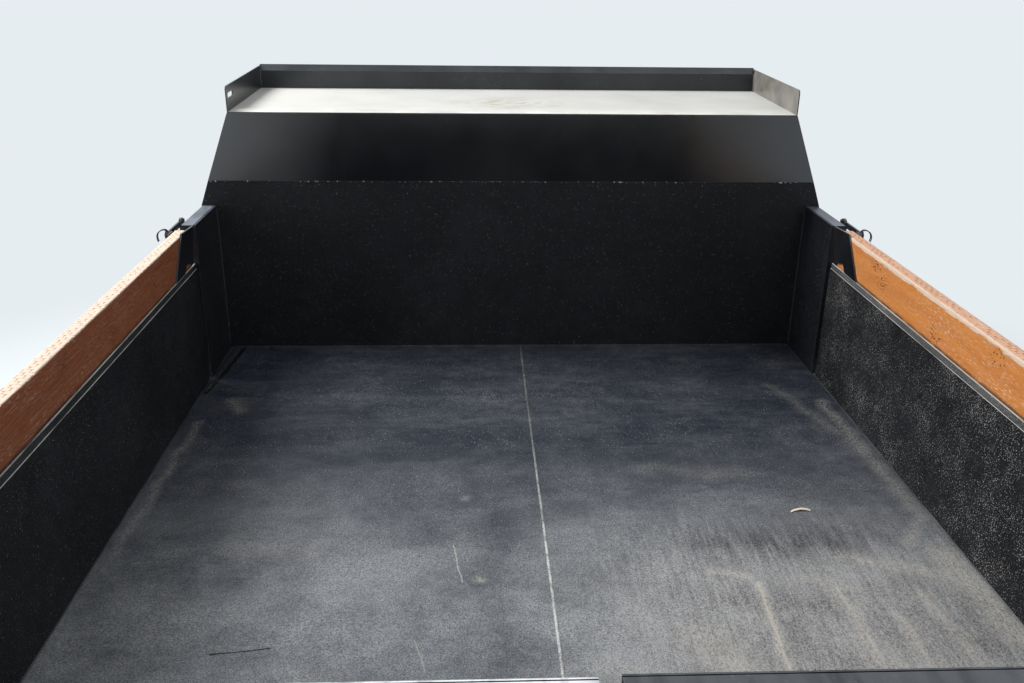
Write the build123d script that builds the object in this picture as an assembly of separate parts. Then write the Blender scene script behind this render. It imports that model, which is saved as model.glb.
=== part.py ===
"""Steel dump body of a light truck, with its sub-frame and under-body hoist.

The body stands on its sub-frame, as it does before it is bolted to a truck. While it is
drawn, Y = 0 is the inner face of the headboard, +Y points to the cab, Z = 0 is the
underside of the sub-frame and X = 0 is the middle. At the end everything is moved along Y
so that the origin is the middle of the whole footprint. All sizes are millimetres.
"""
from build123d import *
from math import atan2, cos, degrees, hypot, radians, sin
import os

# Cargo box, inside sizes
BED_WIDTH = 2134.0
BED_LENGTH = 2438.0
SIDE_HEIGHT = 406.0
POST_HEIGHT = 545.0
WALL = 51.0
SKIN = 3.0
FLOOR_PLATE = 4.8
FLOOR_SEAM_X = 28.0

# Sub-frame, sills and cross members, from the ground up
RAIL_HEIGHT = 102.0
RAIL_FLANGE = 44.0
RAIL_WALL = 6.0
FRAME_WIDTH = 864.0
STRIP_HEIGHT = 6.0
STRIP_WIDTH = 40.0
SEAT_GAP = 0.3
SILL_HEIGHT = 127.0
SILL_FLANGE = 48.0
SILL_WALL = 6.0
CROSS_HEIGHT = 76.0
CROSS_FLANGE = 38.0
CROSS_WALL = 4.5
CROSS_COUNT = 8
CROSS_FIRST = 62.0
CROSS_REAR = 232.0
FRAME_CROSS_HEIGHT = 80.0
FRAME_CROSS_FLANGE = 40.0
FRAME_CROSS_FIRST = 120.0
FRAME_CROSS_LAST = 595.0

# Clips that bolt the sub-frame down
CLIP_LENGTH = 130.0
CLIP_REACH = 62.0
CLIP_HEIGHT = 70.0
CLIP_WALL = 10.0
CLIP_HOLE_R = 8.5
CLIP_HOLE_PITCH = 80.0
CLIP_BACKS = (330.0, 1900.0)
CORNER_CLIP = 6.0
OCTAGON = 0.414

# Rear hinge of the bed
HINGE_FROM_END = 100.0
HINGE_Z = 75.0
HINGE_PIN_R = 19.0
HINGE_EAR_R = 42.0
HINGE_EAR_WALL = 12.0
HINGE_LUG_R = 38.0
HINGE_LUG_WALL = 18.0
HINGE_SIDE_GAP = 1.0
HINGE_LUG_ROOT = 70.0
PIN_FIT = 0.4
PIN_HEAD = 6.0

# Hoist: cylinder of four lengths, placed from the rear hinge
TIP_ANGLE = 45.0
BASE_FORWARD = 750.0
BASE_Z = 66.0
HEAD_FORWARD = 350.0
HEAD_Z = 200.0
HOIST_PIN_R = 16.0
HOIST_EYE_R = 29.0
HOIST_EYE_WIDTH = 44.0
HOIST_EAR_WALL = 12.0
HOIST_EAR_GAP = 2.0
HOIST_ROOT = 75.0
HEAD_ROOT = 20.0
HEAD_BEAM = 64.0
BARREL_R = 55.0
BARREL_WALL = 7.0
STAGE_WALL = 7.0
STAGE_FIT = 0.5
STAGE_STEP = 12.0
STAGE_NEST = 4.0
BARREL_START = 46.0
BARREL_BASE = 14.0
GLAND_LENGTH = 26.0
GLAND_PROUD = 5.0
HEAD_NECK = 40.0

# Headboard and cab shield
BREAK_HALF = 1087.0
BREAK_HEIGHT = 632.0
TOP_HALF = 997.0
TOP_HEIGHT = 873.0
HEAD_PLATE = 4.8
HEAD_DEPTH = 38.0
RIB_WIDTH = 70.0
RIB_CREST = 42.0
RIB_WALL = 3.0
RIB_DRAIN = 5.0
RIB_PLACES = (-780.0, -265.0, 265.0, 780.0)
GUSSET_REACH = 240.0
GUSSET_DROP = 150.0
GUSSET_WALL = 6.0
SHIELD_DEPTH = 610.0
SHIELD_FRONT_HALF = 1005.0
SHIELD_RISE = 9.0
SHIELD_SHEET = 4.0
LIP_HEIGHT = 86.0
LIP_CORNER = 14.0
FRONT_LIP = 68.0
KICK_HEIGHT = 23.0
KICK_FORWARD = 15.0
KICK_GAP = 6.0
SLOT_LENGTH = 80.0
SLOT_HEIGHT = 17.0
SLOT_BACK = 60.0
SLOT_DROP = 34.0

# Posts
FRONT_POST_DEPTH = 279.0
REAR_POST_DEPTH = 96.0
POST_GROOVE = 4.0
POST_GROOVE_DEPTH = 6.0
POST_EDGE = 5.0
POST_WALL = 4.0

# Fold-down sides
GATE_END_GAP = 32.0
GATE_FLOOR_GAP = 6.0
TUBE_HEIGHT = 48.0
TUBE_WALL = 4.0
TUBE_CORNER = 2.5
LIP_RISE = 18.0
LIP_WALL = 4.6
LIP_GROOVE = 0.8
LIP_ROUND = 1.4
OUTER_LIP = 3.0
END_TUBE = 50.0
GATE_RIB_WIDTH = 64.0
GATE_RIB_DEPTH = 42.0
GATE_RIBS = 4
EDGE_RAIL_HEIGHT = 76.0
EDGE_RAIL_INSET = 6.0
SIDE_AXIS_OUT = 16.0
SIDE_AXIS_DROP = 12.0
SIDE_KNUCKLE_R = 11.0
SIDE_PIN_R = 7.0
SIDE_HINGES = 3
SIDE_HINGE_INSET = 190.0
KNUCKLE_LENGTH = 40.0
LUG_LENGTH = 25.0
KNUCKLE_GAP = 1.0
STRAP = 6.0
STRAP_WIDTH = 64.0
STRAP_HEIGHT = 110.0

# Wooden boards that stand on the sides, and what holds them
BOARD_THICK = 38.0
BOARD_HEIGHT = 139.5
BOARD_FIT = 0.5
BOARD_END = 36.0
BOARD_ROUND = 4.0
POCKET_WALL = 6.0
POCKET_TOP_FRONT = -21.0
POCKET_TOP_REAR = 107.0
POCKET_LOW_FRONT = 24.0
POCKET_LOW_REAR = 214.0
POCKET_NOTCH_REAR = 114.0
POCKET_NOTCH_TOP = 92.0
POCKET_NOTCH_RISE = 24.0
POCKET_LOW_RISE = 8.0
POCKET_ABOVE_BOARD = 8.0
STAKE_WIDTH = 46.0
STAKE_BACK = 62.0
STAKE_LOW = 44.0

# Latches at the ends of the sides
LATCH_BAR_LENGTH = 182.0
LATCH_BAR_HEIGHT = 26.0
LATCH_BAR_THICK = 9.0
LATCH_BAR_Z = 538.0
LATCH_OVER_POST = 76.0
LATCH_BOLT_R = 9.5

# Two-leaf tailgate
LEAF_THICK = 32.0
LEAF_GAP = 29.0
LEAF_GAP_CENTRE = 12.0
LEAF_CLEAR = 6.0
LEAF_BOTTOM = 5.0
LEFT_LEAF_DROP = 4.0
LEAF_EDGE_INSET = 2.0
LEAF_TUBE = 50.0
LEAF_RIBS = 2
LEAF_AXIS_OUT = 40.0
LEAF_AXIS_IN = 8.0
LEAF_KNUCKLE_R = 14.0
LEAF_PIN_R = 9.0
LEAF_LUG_ROOT = 22.0
LEAF_HINGE_HEIGHTS = (95.0, 450.0)
LEAF_STRAP_LENGTH = 300.0
LEAF_STRAP_HEIGHT = 52.0
LOCK_ROD_R = 8.0
LOCK_ROD_OFF = 3.0
LOCK_ROD_TOP = 400.0
LOCK_ROD_INSET = 70.0
LOCK_GUIDE_HEIGHTS = (70.0, 225.0, 360.0)
LOCK_GUIDE_WIDTH = 46.0
LOCK_GUIDE_HEIGHT = 24.0
LOCK_GUIDE_WALL = 2.5
LOCK_LEVER = 150.0
LOCK_LEVER_HEIGHT = 300.0
LOCK_LEVER_WIDTH = 24.0
LOCK_ROD_LIFT = 6.0
KEEPER_DROP = 14.0
KEEPER_WALL = 8.0
KEEPER_WIDTH = 54.0

# Rear bolster and its lamps
BOLSTER_HEIGHT = 150.0
BOLSTER_DEPTH = 51.0
BOLSTER_WALL = 5.0
LAMP_LENGTH = 165.0
LAMP_HEIGHT = 57.0
LAMP_PLACES = (-905.0, 905.0)
MARKER_LENGTH = 64.0
MARKER_HEIGHT = 26.0
MARKER_PLACES = (-152.0, 0.0, 152.0)
LAMP_PROUD = 4.0
LAMP_DEPTH = 30.0

# Levels and half-widths that follow from the sizes above
HALF = BED_WIDTH / 2
OUTER = HALF + WALL
Z_SILL = RAIL_HEIGHT + STRIP_HEIGHT + SEAT_GAP
Z_CROSS = Z_SILL + SILL_HEIGHT
Z_UNDER = Z_CROSS + CROSS_HEIGHT
Z_FLOOR = Z_UNDER + FLOOR_PLATE
RAIL_OUT = FRAME_WIDTH / 2
FLOOR_END = -BED_LENGTH + LEAF_CLEAR
HINGE_Y = -BED_LENGTH + HINGE_FROM_END
HINGE_ROOT = HINGE_Y + HINGE_EAR_R + HINGE_EAR_WALL
GATE_FRONT = -FRONT_POST_DEPTH - GATE_END_GAP
GATE_REAR = FLOOR_END + REAR_POST_DEPTH + GATE_END_GAP
EDGE_OUT = OUTER - EDGE_RAIL_INSET
SIDE_AXIS = (OUTER + SIDE_AXIS_OUT, Z_FLOOR - SIDE_AXIS_DROP)
LEAF_IN = -BED_LENGTH
LEAF_OUT = LEAF_IN - LEAF_THICK
LEAF_AXIS = (OUTER + LEAF_AXIS_OUT, LEAF_OUT + LEAF_AXIS_IN)


def along_x(profile, x0, x1):
    """Extrude a profile drawn in Y and Z from x0 to x1."""
    return extrude(Plane.YZ.offset(x0) * profile, x1 - x0, dir=(1, 0, 0))


def along_y(profile, y0, y1):
    """Extrude a profile drawn in X and Z from y0 to y1."""
    return extrude(Plane.XZ.offset(-y0) * profile, y1 - y0, dir=(0, 1, 0))


def along_z(profile, z0, z1):
    """Extrude a profile drawn in X and Y from z0 to z1."""
    return extrude(Plane.XY.offset(z0) * profile, z1 - z0, dir=(0, 0, 1))


def rect(u0, u1, v0, v1):
    """A rectangle between two corners of its own plane."""
    return Pos((u0 + u1) / 2, (v0 + v1) / 2) * Rectangle(u1 - u0, v1 - v0)


def outline(*points):
    """A closed outline through the points, where they are."""
    return Polygon(*points, align=None)


def clipped(u0, u1, v0, v1, corner):
    """A rectangle whose four corners are cut off."""
    return outline((u0 + corner, v0), (u1 - corner, v0), (u1, v0 + corner), (u1, v1 - corner),
                   (u1 - corner, v1), (u0 + corner, v1), (u0, v1 - corner), (u0, v0 + corner))


def knuckle_profile(u_root, u_pin, v_pin, radius):
    """A hinge leaf that starts straight at u_root and ends eight-sided about its pin."""
    flat = OCTAGON * radius
    return outline((u_root, v_pin - radius), (u_pin + flat, v_pin - radius), (u_pin + radius, v_pin - flat),
                   (u_pin + radius, v_pin + flat), (u_pin + flat, v_pin + radius), (u_root, v_pin + radius))


def hooked_profile(u0, u1, v_top, u_pin, v_pin, radius):
    """A hinge leaf that hangs down from v_top between u0 and u1 and curls about its pin.

    Nothing of it is below the pin on the strap's side, so that it stays low when folded over.
    """
    flat = OCTAGON * radius
    return outline((u0, v_pin), (u_pin - radius, v_pin), (u_pin - radius, v_pin - flat), (u_pin - flat, v_pin - radius),
                   (u_pin + flat, v_pin - radius), (u_pin + radius, v_pin - flat), (u_pin + radius, v_pin + flat),
                   (u_pin + flat, v_pin + radius), (u1, v_pin + radius), (u1, v_top), (u0, v_top))


def tube_profile(u0, u1, v0, v1, wall, corner):
    """The section of a rectangular tube with its outer corners broken."""
    return clipped(u0, u1, v0, v1, corner) - rect(u0 + wall, u1 - wall, v0 + wall, v1 - wall)


def channel_profile(web_u, open_sign, v0, v1, flange, wall):
    """The section of a channel whose web is at web_u and whose flanges point to open_sign."""
    u_in = web_u + open_sign * wall
    u_end = web_u + open_sign * flange
    return outline(
        (web_u, v0), (u_end, v0), (u_end, v0 + wall), (u_in, v0 + wall),
        (u_in, v1 - wall), (u_end, v1 - wall), (u_end, v1), (web_u, v1),
    )


def end_channel(v_web, inward, u0, u1, length, wall):
    """The section of a channel whose web lies across V at v_web, open towards inward."""
    v_end = v_web + inward * length
    v_in = v_web + inward * wall
    return outline((u0, v_web), (u1, v_web), (u1, v_end), (u1 - wall, v_end), (u1 - wall, v_in),
                   (u0 + wall, v_in), (u0 + wall, v_end), (u0, v_end))


def hat_profile(u_mid, v_base, v_sign, width, crest, depth, wall):
    """The section of a pressed stiffener: sloping sides and a flat crest."""
    v_top = v_base + v_sign * depth
    v_in = v_top - v_sign * wall
    return outline(
        (u_mid - width / 2, v_base), (u_mid - crest / 2, v_top),
        (u_mid + crest / 2, v_top), (u_mid + width / 2, v_base),
        (u_mid + width / 2 - 1.4 * wall, v_base), (u_mid + crest / 2 - wall, v_in),
        (u_mid - crest / 2 + wall, v_in), (u_mid - width / 2 + 1.4 * wall, v_base),
    )


def on_left(shape):
    """The same piece on the left side."""
    return mirror(shape, about=Plane.YZ)


def solids(shapes):
    """Several solids of one node, side by side."""
    return Compound(children=list(shapes))


def both_sides(shape):
    """A piece of the right side and its mirror image, in one node."""
    pieces = shape.solids()
    return solids(pieces + [on_left(piece) for piece in pieces])


def evenly(first, last, count):
    """Evenly spaced places from first to last."""
    return [first + (last - first) * i / (count - 1) for i in range(count)]


# Sub-frame

def frame_rail():
    """Right sub-frame rail: a channel, open to the middle, that ends before the hinge ears."""
    section = channel_profile(RAIL_OUT, -1, 0, RAIL_HEIGHT, RAIL_FLANGE, RAIL_WALL)
    return along_y(section, HINGE_ROOT, -HEAD_DEPTH)


def frame_cross_backs():
    """Places of the sub-frame's cross members, measured behind the headboard."""
    hoist_back = -(HINGE_Y + BASE_FORWARD) - HOIST_ROOT
    return evenly(FRAME_CROSS_FIRST, hoist_back, 3) + [hoist_back + FRAME_CROSS_LAST]


def frame_crosses():
    """The channels between the two sub-frame rails."""
    inner = RAIL_OUT - RAIL_WALL
    z0 = (RAIL_HEIGHT - FRAME_CROSS_HEIGHT) / 2
    pieces = []
    for back in frame_cross_backs():
        section = channel_profile(-back, 1, z0, z0 + FRAME_CROSS_HEIGHT, FRAME_CROSS_FLANGE, RAIL_WALL)
        pieces.append(along_x(section, -inner, inner))
    return solids(pieces)


def mounting_clips():
    """Angles on the outside of the rails, with bolt holes through the flat leg."""
    section = outline(
        (RAIL_OUT, 0), (RAIL_OUT + CLIP_REACH, 0), (RAIL_OUT + CLIP_REACH, CLIP_WALL),
        (RAIL_OUT + CLIP_WALL, CLIP_WALL), (RAIL_OUT + CLIP_WALL, CLIP_HEIGHT), (RAIL_OUT, CLIP_HEIGHT),
    )
    hole_x = RAIL_OUT + (CLIP_REACH + CLIP_WALL) / 2
    pieces = []
    for back in CLIP_BACKS:
        clip = along_y(section, -back - CLIP_LENGTH / 2, -back + CLIP_LENGTH / 2)
        for side in (-1, 1):
            hole = Cylinder(CLIP_HOLE_R, 4 * CLIP_WALL)
            clip -= Pos(hole_x, -back + side * CLIP_HOLE_PITCH / 2, 0) * hole
        pieces += [clip, on_left(clip)]
    return solids(pieces)


def rest_strips():
    """Hard rubber strips on the rails, on which the lowered bed rests."""
    x_mid = RAIL_OUT - RAIL_FLANGE / 2
    section = clipped(x_mid - STRIP_WIDTH / 2, x_mid + STRIP_WIDTH / 2, RAIL_HEIGHT, RAIL_HEIGHT + STRIP_HEIGHT, 1.5)
    strip = along_y(section, HINGE_Y + 3 * HINGE_EAR_R, -3 * HEAD_DEPTH)
    return solids([strip, on_left(strip)])


def octagon(u_mid, v_mid, radius):
    """An eight-sided outline about a middle, as far from it as a circle of that radius."""
    return clipped(u_mid - radius, u_mid + radius, v_mid - radius, v_mid + radius, (1 - OCTAGON) * radius)


def ear_profile(u_pin, v_pin, radius, u0, u1, v0, v1):
    """An ear that tapers from a straight root to an end cut eight-sided about its pin."""
    return make_hull(octagon(u_pin, v_pin, radius).edges() + rect(u0, u1, v0, v1).edges())


def rear_hinge_mount():
    """Twin ears at the end of each rail, with the hinge pin between them."""
    y_back = HINGE_ROOT + 2 * HINGE_EAR_R
    low, high = RAIL_WALL, RAIL_HEIGHT - RAIL_WALL
    plate = ear_profile(HINGE_Y, HINGE_Z, HINGE_EAR_R, HINGE_ROOT - HINGE_EAR_WALL / 2, HINGE_ROOT, low, high)
    plate += rect(HINGE_ROOT, y_back, low, high)
    outer = along_x(plate, RAIL_OUT, RAIL_OUT + HINGE_EAR_WALL)
    inner_x = RAIL_OUT - HINGE_LUG_WALL - 2 * HINGE_SIDE_GAP
    inner = along_x(plate, inner_x - HINGE_EAR_WALL, inner_x)
    web = along_x(rect(HINGE_ROOT + HINGE_EAR_WALL, y_back, low, high), inner_x - HINGE_EAR_WALL, RAIL_OUT - RAIL_WALL)
    pin = along_x(Pos(HINGE_Y, HINGE_Z) * Circle(HINGE_PIN_R), inner_x, RAIL_OUT)
    head = octagon(HINGE_Y, HINGE_Z, HINGE_PIN_R)
    for x in (inner_x - HINGE_EAR_WALL - PIN_HEAD, RAIL_OUT + HINGE_EAR_WALL):
        pin += along_x(head, x, x + PIN_HEAD)
    return outer + inner + web + pin


def hoist_base():
    """Two ears on the hoist cross member, and the pin that carries the barrel."""
    y_pin = HINGE_Y + BASE_FORWARD
    y_root = y_pin + HOIST_ROOT
    z0 = (RAIL_HEIGHT - FRAME_CROSS_HEIGHT) / 2
    plate = ear_profile(y_pin, BASE_Z, HOIST_EYE_R, y_root - HOIST_EAR_WALL, y_root, z0, z0 + FRAME_CROSS_HEIGHT)
    x_in = HOIST_EYE_WIDTH / 2 + HOIST_EAR_GAP
    ear = along_x(plate, x_in, x_in + HOIST_EAR_WALL)
    x_head = x_in + HOIST_EAR_WALL
    ear += along_x(octagon(y_pin, BASE_Z, HOIST_PIN_R), x_head, x_head + PIN_HEAD)
    pin = along_x(Pos(y_pin, BASE_Z) * Circle(HOIST_PIN_R), -x_in, x_in)
    return ear + on_left(ear) + pin


# Bed floor and its frame

def cross_backs():
    """Places of the bed's cross members, measured behind the headboard."""
    return evenly(CROSS_FIRST, -FLOOR_END - CROSS_REAR, CROSS_COUNT)


def floor_plate(x0, x1):
    """One of the two floor sheets that meet at the welded seam."""
    return along_z(rect(x0, x1, FLOOR_END, HEAD_DEPTH), Z_UNDER, Z_FLOOR)


def bed_sill():
    """Right long sill of the bed, open outwards, above its sub-frame rail."""
    section = channel_profile(RAIL_OUT - SILL_FLANGE, 1, Z_SILL, Z_CROSS, SILL_FLANGE, SILL_WALL)
    return along_y(section, HINGE_ROOT, HEAD_DEPTH)


def bed_crosses():
    """Cross members between the edge rails, on top of the sills."""
    pieces = []
    for back in cross_backs():
        section = channel_profile(-back, -1, Z_CROSS, Z_UNDER, CROSS_FLANGE, CROSS_WALL)
        pieces.append(along_x(section, -HALF, HALF))
    return solids(pieces)


def edge_rail():
    """Right edge rail: the tube along the floor that carries the posts and the side's hinges."""
    section = tube_profile(HALF, EDGE_OUT, Z_FLOOR - EDGE_RAIL_HEIGHT, Z_FLOOR, TUBE_WALL, 5)
    return along_y(section, FLOOR_END, HEAD_DEPTH)


def bed_hinge_lugs():
    """Lugs that continue the sills to the bolster and turn on the rear hinge pins."""
    x_out = RAIL_OUT - HINGE_SIDE_GAP
    y0 = FLOOR_END + BOLSTER_DEPTH
    low, high = Z_SILL + SILL_WALL, Z_CROSS - SILL_WALL
    plate = ear_profile(HINGE_Y, HINGE_Z, HINGE_LUG_R, y0, HINGE_ROOT, low, high)
    plate -= Pos(HINGE_Y, HINGE_Z) * Circle(HINGE_PIN_R + PIN_FIT)
    sill_web = RAIL_OUT - SILL_FLANGE + SILL_WALL
    lug = along_x(plate, x_out - HINGE_LUG_WALL, x_out)
    lug += along_x(rect(HINGE_ROOT, HINGE_ROOT + HINGE_LUG_ROOT, low, high), sill_web, x_out)
    return lug


def hoist_head_bracket():
    """Ears under the floor that take the push of the hoist, on a plate between cross members."""
    y_pin = HINGE_Y + HEAD_FORWARD
    y_low = max(-back for back in cross_backs() if -back < y_pin)
    y_high = min(-back - CROSS_FLANGE for back in cross_backs() if -back > y_pin)
    x_in = HOIST_EYE_WIDTH / 2 + HOIST_EAR_GAP
    plate = ear_profile(y_pin, HEAD_Z, HOIST_EYE_R, y_low, y_pin + HOIST_EYE_R, Z_UNDER - HEAD_ROOT, Z_UNDER)
    ear = along_x(plate, x_in, x_in + HOIST_EAR_WALL)
    x_head = x_in + HOIST_EAR_WALL
    ear += along_x(octagon(y_pin, HEAD_Z, HOIST_PIN_R + PIN_HEAD), x_head, x_head + PIN_HEAD)
    rib = channel_profile(x_in, 1, Z_UNDER - HEAD_BEAM, Z_UNDER, CROSS_FLANGE, HOIST_EAR_WALL)
    beam = along_y(rib, y_low, y_high)
    right = ear + beam
    return solids([right, on_left(right)])


def rear_bolster():
    """Channel across the rear end, under the floor, with cut-outs for the lamps."""
    z0 = Z_UNDER - BOLSTER_HEIGHT
    section = channel_profile(FLOOR_END, 1, z0, Z_UNDER, BOLSTER_DEPTH, BOLSTER_WALL)
    beam = along_x(section, -HALF, HALF)
    z_mid = Z_UNDER - BOLSTER_HEIGHT / 2
    for x in LAMP_PLACES:
        hole = Pos(x, z_mid) * SlotOverall(LAMP_LENGTH, LAMP_HEIGHT)
        beam -= along_y(hole, FLOOR_END - 1, FLOOR_END + BOLSTER_WALL + 1)
    for x in (-HALF, HALF - BOLSTER_WALL):
        beam += along_x(rect(FLOOR_END, FLOOR_END + BOLSTER_DEPTH, z0, Z_UNDER), x, x + BOLSTER_WALL)
    keeper_y = LEAF_OUT - LOCK_ROD_OFF - LOCK_ROD_R
    keeper_z = Z_FLOOR - KEEPER_DROP
    for x in lock_rod_places():
        shelf = along_z(rect(x - KEEPER_WIDTH / 2, x + KEEPER_WIDTH / 2, keeper_y - 2 * LOCK_ROD_R, FLOOR_END),
                        keeper_z - KEEPER_WALL, keeper_z)
        shelf -= Pos(x, keeper_y, keeper_z) * Cylinder(LOCK_ROD_R + 2, 4 * KEEPER_WALL)
        gusset = outline((FLOOR_END, keeper_z - KEEPER_WALL), (keeper_y + LOCK_ROD_R + 3, keeper_z - KEEPER_WALL),
                         (FLOOR_END, keeper_z - 5 * KEEPER_WALL))
        shelf += along_x(gusset, x - KEEPER_WIDTH / 2, x - KEEPER_WIDTH / 2 + BOLSTER_WALL)
        shelf += along_x(gusset, x + KEEPER_WIDTH / 2 - BOLSTER_WALL, x + KEEPER_WIDTH / 2)
        beam += shelf
    return beam


def rear_lamps():
    """Two oval stop lamps let into the bolster, and three small markers on its face."""
    z_mid = Z_UNDER - BOLSTER_HEIGHT / 2
    pieces = []
    for x in LAMP_PLACES:
        lamp = Pos(x, z_mid) * SlotOverall(LAMP_LENGTH - 2 * BOARD_FIT, LAMP_HEIGHT - 2 * BOARD_FIT)
        pieces.append(along_y(lamp, FLOOR_END - LAMP_PROUD, FLOOR_END + LAMP_DEPTH))
    for x in MARKER_PLACES:
        marker = clipped(x - MARKER_LENGTH / 2, x + MARKER_LENGTH / 2, z_mid - MARKER_HEIGHT / 2,
                         z_mid + MARKER_HEIGHT / 2, CORNER_CLIP)
        pieces.append(along_y(marker, FLOOR_END - 2 * LAMP_PROUD, FLOOR_END))
    return solids(pieces)


# Headboard, shield and posts

def pan(points, z_base):
    """A pressed panel: the sheet, with its rim folded forward all round."""
    shape = outline(*[(x, z_base + z) for x, z in points])
    inside = offset(shape, -HEAD_PLATE, kind=Kind.INTERSECTION)
    return along_y(shape, 0, HEAD_DEPTH) - along_y(inside, HEAD_PLATE, HEAD_DEPTH + 1)


def headboard_lower():
    """Lower headboard panel: full width up to the posts, then drawn in to the seam."""
    return pan([
        (-OUTER, 0), (OUTER, 0), (OUTER, POST_HEIGHT), (BREAK_HALF, BREAK_HEIGHT),
        (-BREAK_HALF, BREAK_HEIGHT), (-OUTER, POST_HEIGHT),
    ], Z_FLOOR)


def headboard_upper():
    """Upper headboard panel: it narrows from the seam to the shield."""
    top = TOP_HEIGHT - SHIELD_SHEET
    half = BREAK_HALF + (TOP_HALF - BREAK_HALF) * (top - BREAK_HEIGHT) / (TOP_HEIGHT - BREAK_HEIGHT)
    return pan([(-BREAK_HALF, BREAK_HEIGHT), (BREAK_HALF, BREAK_HEIGHT), (half, top), (-half, top)], Z_FLOOR)


def headboard_ribs():
    """Pressed uprights on the front of both panels."""
    levels = [(HEAD_PLATE, BREAK_HEIGHT - HEAD_PLATE),
              (BREAK_HEIGHT + HEAD_PLATE, TOP_HEIGHT - SHIELD_SHEET - HEAD_PLATE)]
    pieces = []
    for x in RIB_PLACES:
        section = hat_profile(x, HEAD_PLATE, 1, RIB_WIDTH, RIB_CREST, HEAD_DEPTH - HEAD_PLATE, RIB_WALL)
        for low, high in levels:
            pieces.append(along_z(section, Z_FLOOR + low, Z_FLOOR + high))
    return solids(pieces)


def shield_gussets():
    """Triangular plates that brace the shield from the headboard, beside each upright."""
    z_top = Z_FLOOR + TOP_HEIGHT - SHIELD_SHEET
    rise = SHIELD_RISE / SHIELD_DEPTH
    plate = outline((HEAD_DEPTH, z_top + HEAD_DEPTH * rise), (GUSSET_REACH, z_top + GUSSET_REACH * rise),
                    (HEAD_DEPTH, z_top - GUSSET_DROP))
    return solids(along_x(plate, x - GUSSET_WALL / 2, x + GUSSET_WALL / 2) for x in RIB_PLACES)


def cab_shield():
    """Tray over the cab: sheet, two side lips and a front lip whose top is kicked forward."""
    z0 = Z_FLOOR + TOP_HEIGHT - SHIELD_SHEET
    plan = outline((-TOP_HALF, 0), (TOP_HALF, 0), (SHIELD_FRONT_HALF, SHIELD_DEPTH), (-SHIELD_FRONT_HALF, SHIELD_DEPTH))
    t = SHIELD_SHEET
    well = outline((-TOP_HALF + t, -t), (TOP_HALF - t, -t), (SHIELD_FRONT_HALF - t, SHIELD_DEPTH - t),
                   (-SHIELD_FRONT_HALF + t, SHIELD_DEPTH - t))
    tray = along_z(plan, z0, z0 + t + LIP_HEIGHT) - along_z(well, z0 + t, z0 + 2 * t + LIP_HEIGHT)
    ends = tray.edges().filter_by(Axis.X).filter_by_position(Axis.Y, -1, 1)
    corners = [edge for edge in ends if edge.center().Z > z0 + t + LIP_HEIGHT / 2]
    tray = fillet(corners, LIP_CORNER)
    lowered = rect(-SHIELD_FRONT_HALF + t, SHIELD_FRONT_HALF - t, SHIELD_DEPTH - t, SHIELD_DEPTH + t)
    tray -= along_z(lowered, z0 + t + FRONT_LIP, z0 + 2 * t + LIP_HEIGHT)
    z_kick = z0 + t + FRONT_LIP
    kick = outline((SHIELD_DEPTH - t, z_kick), (SHIELD_DEPTH, z_kick), (SHIELD_DEPTH + KICK_FORWARD, z_kick + KICK_HEIGHT),
                   (SHIELD_DEPTH + KICK_FORWARD - t, z_kick + KICK_HEIGHT))
    half = SHIELD_FRONT_HALF - KICK_GAP
    tray += along_x(kick, -half, half)
    slot = Pos(SLOT_BACK, z0 + t + LIP_HEIGHT - SLOT_DROP) * SlotOverall(SLOT_LENGTH, SLOT_HEIGHT)
    tray -= along_x(slot, -SHIELD_FRONT_HALF - t, -TOP_HALF + 3 * t)
    hinge_line = Axis((0, 0, z0), (1, 0, 0))
    return tray.rotate(hinge_line, degrees(atan2(SHIELD_RISE, SHIELD_DEPTH)))


def post(depth, y_front):
    """A folded corner post on the edge rail, with the groove of its inner plate along the top."""
    section = outline((HALF, 0), (OUTER, 0), (OUTER, POST_HEIGHT - POST_EDGE),
                      (OUTER - POST_EDGE, POST_HEIGHT), (HALF, POST_HEIGHT))
    body = along_y(Pos(0, Z_FLOOR) * section, y_front - depth, y_front)
    groove = rect(HALF + SKIN, HALF + SKIN + POST_GROOVE, POST_HEIGHT - POST_GROOVE_DEPTH, POST_HEIGHT + 1)
    body -= along_y(Pos(0, Z_FLOOR) * groove, y_front - depth - 1, y_front + 1)
    hollow = rect(HALF + POST_WALL, OUTER - POST_WALL, y_front - depth + POST_WALL, y_front - POST_WALL)
    return body - along_z(hollow, Z_FLOOR - 1, Z_FLOOR + POST_HEIGHT - POST_GROOVE_DEPTH - POST_WALL)


# Fold-down sides

def side_hinge_places():
    """Middles of the side's hinges along Y."""
    return evenly(GATE_FRONT - SIDE_HINGE_INSET, GATE_REAR + SIDE_HINGE_INSET, SIDE_HINGES)


def side_hinges():
    """The bed's half of the right side's hinges: lugs on the edge rail, with their pins."""
    x, z = SIDE_AXIS
    tongue = knuckle_profile(EDGE_OUT, x, z, SIDE_KNUCKLE_R)
    half = KNUCKLE_LENGTH / 2 + KNUCKLE_GAP
    pieces = []
    for y in side_hinge_places():
        hinge = along_y(tongue, y + half, y + half + LUG_LENGTH)
        hinge += along_y(tongue, y - half - LUG_LENGTH, y - half)
        hinge += along_y(Pos(x, z) * Circle(SIDE_PIN_R), y - half, y + half)
        pieces.append(hinge)
    return solids(pieces)


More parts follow.
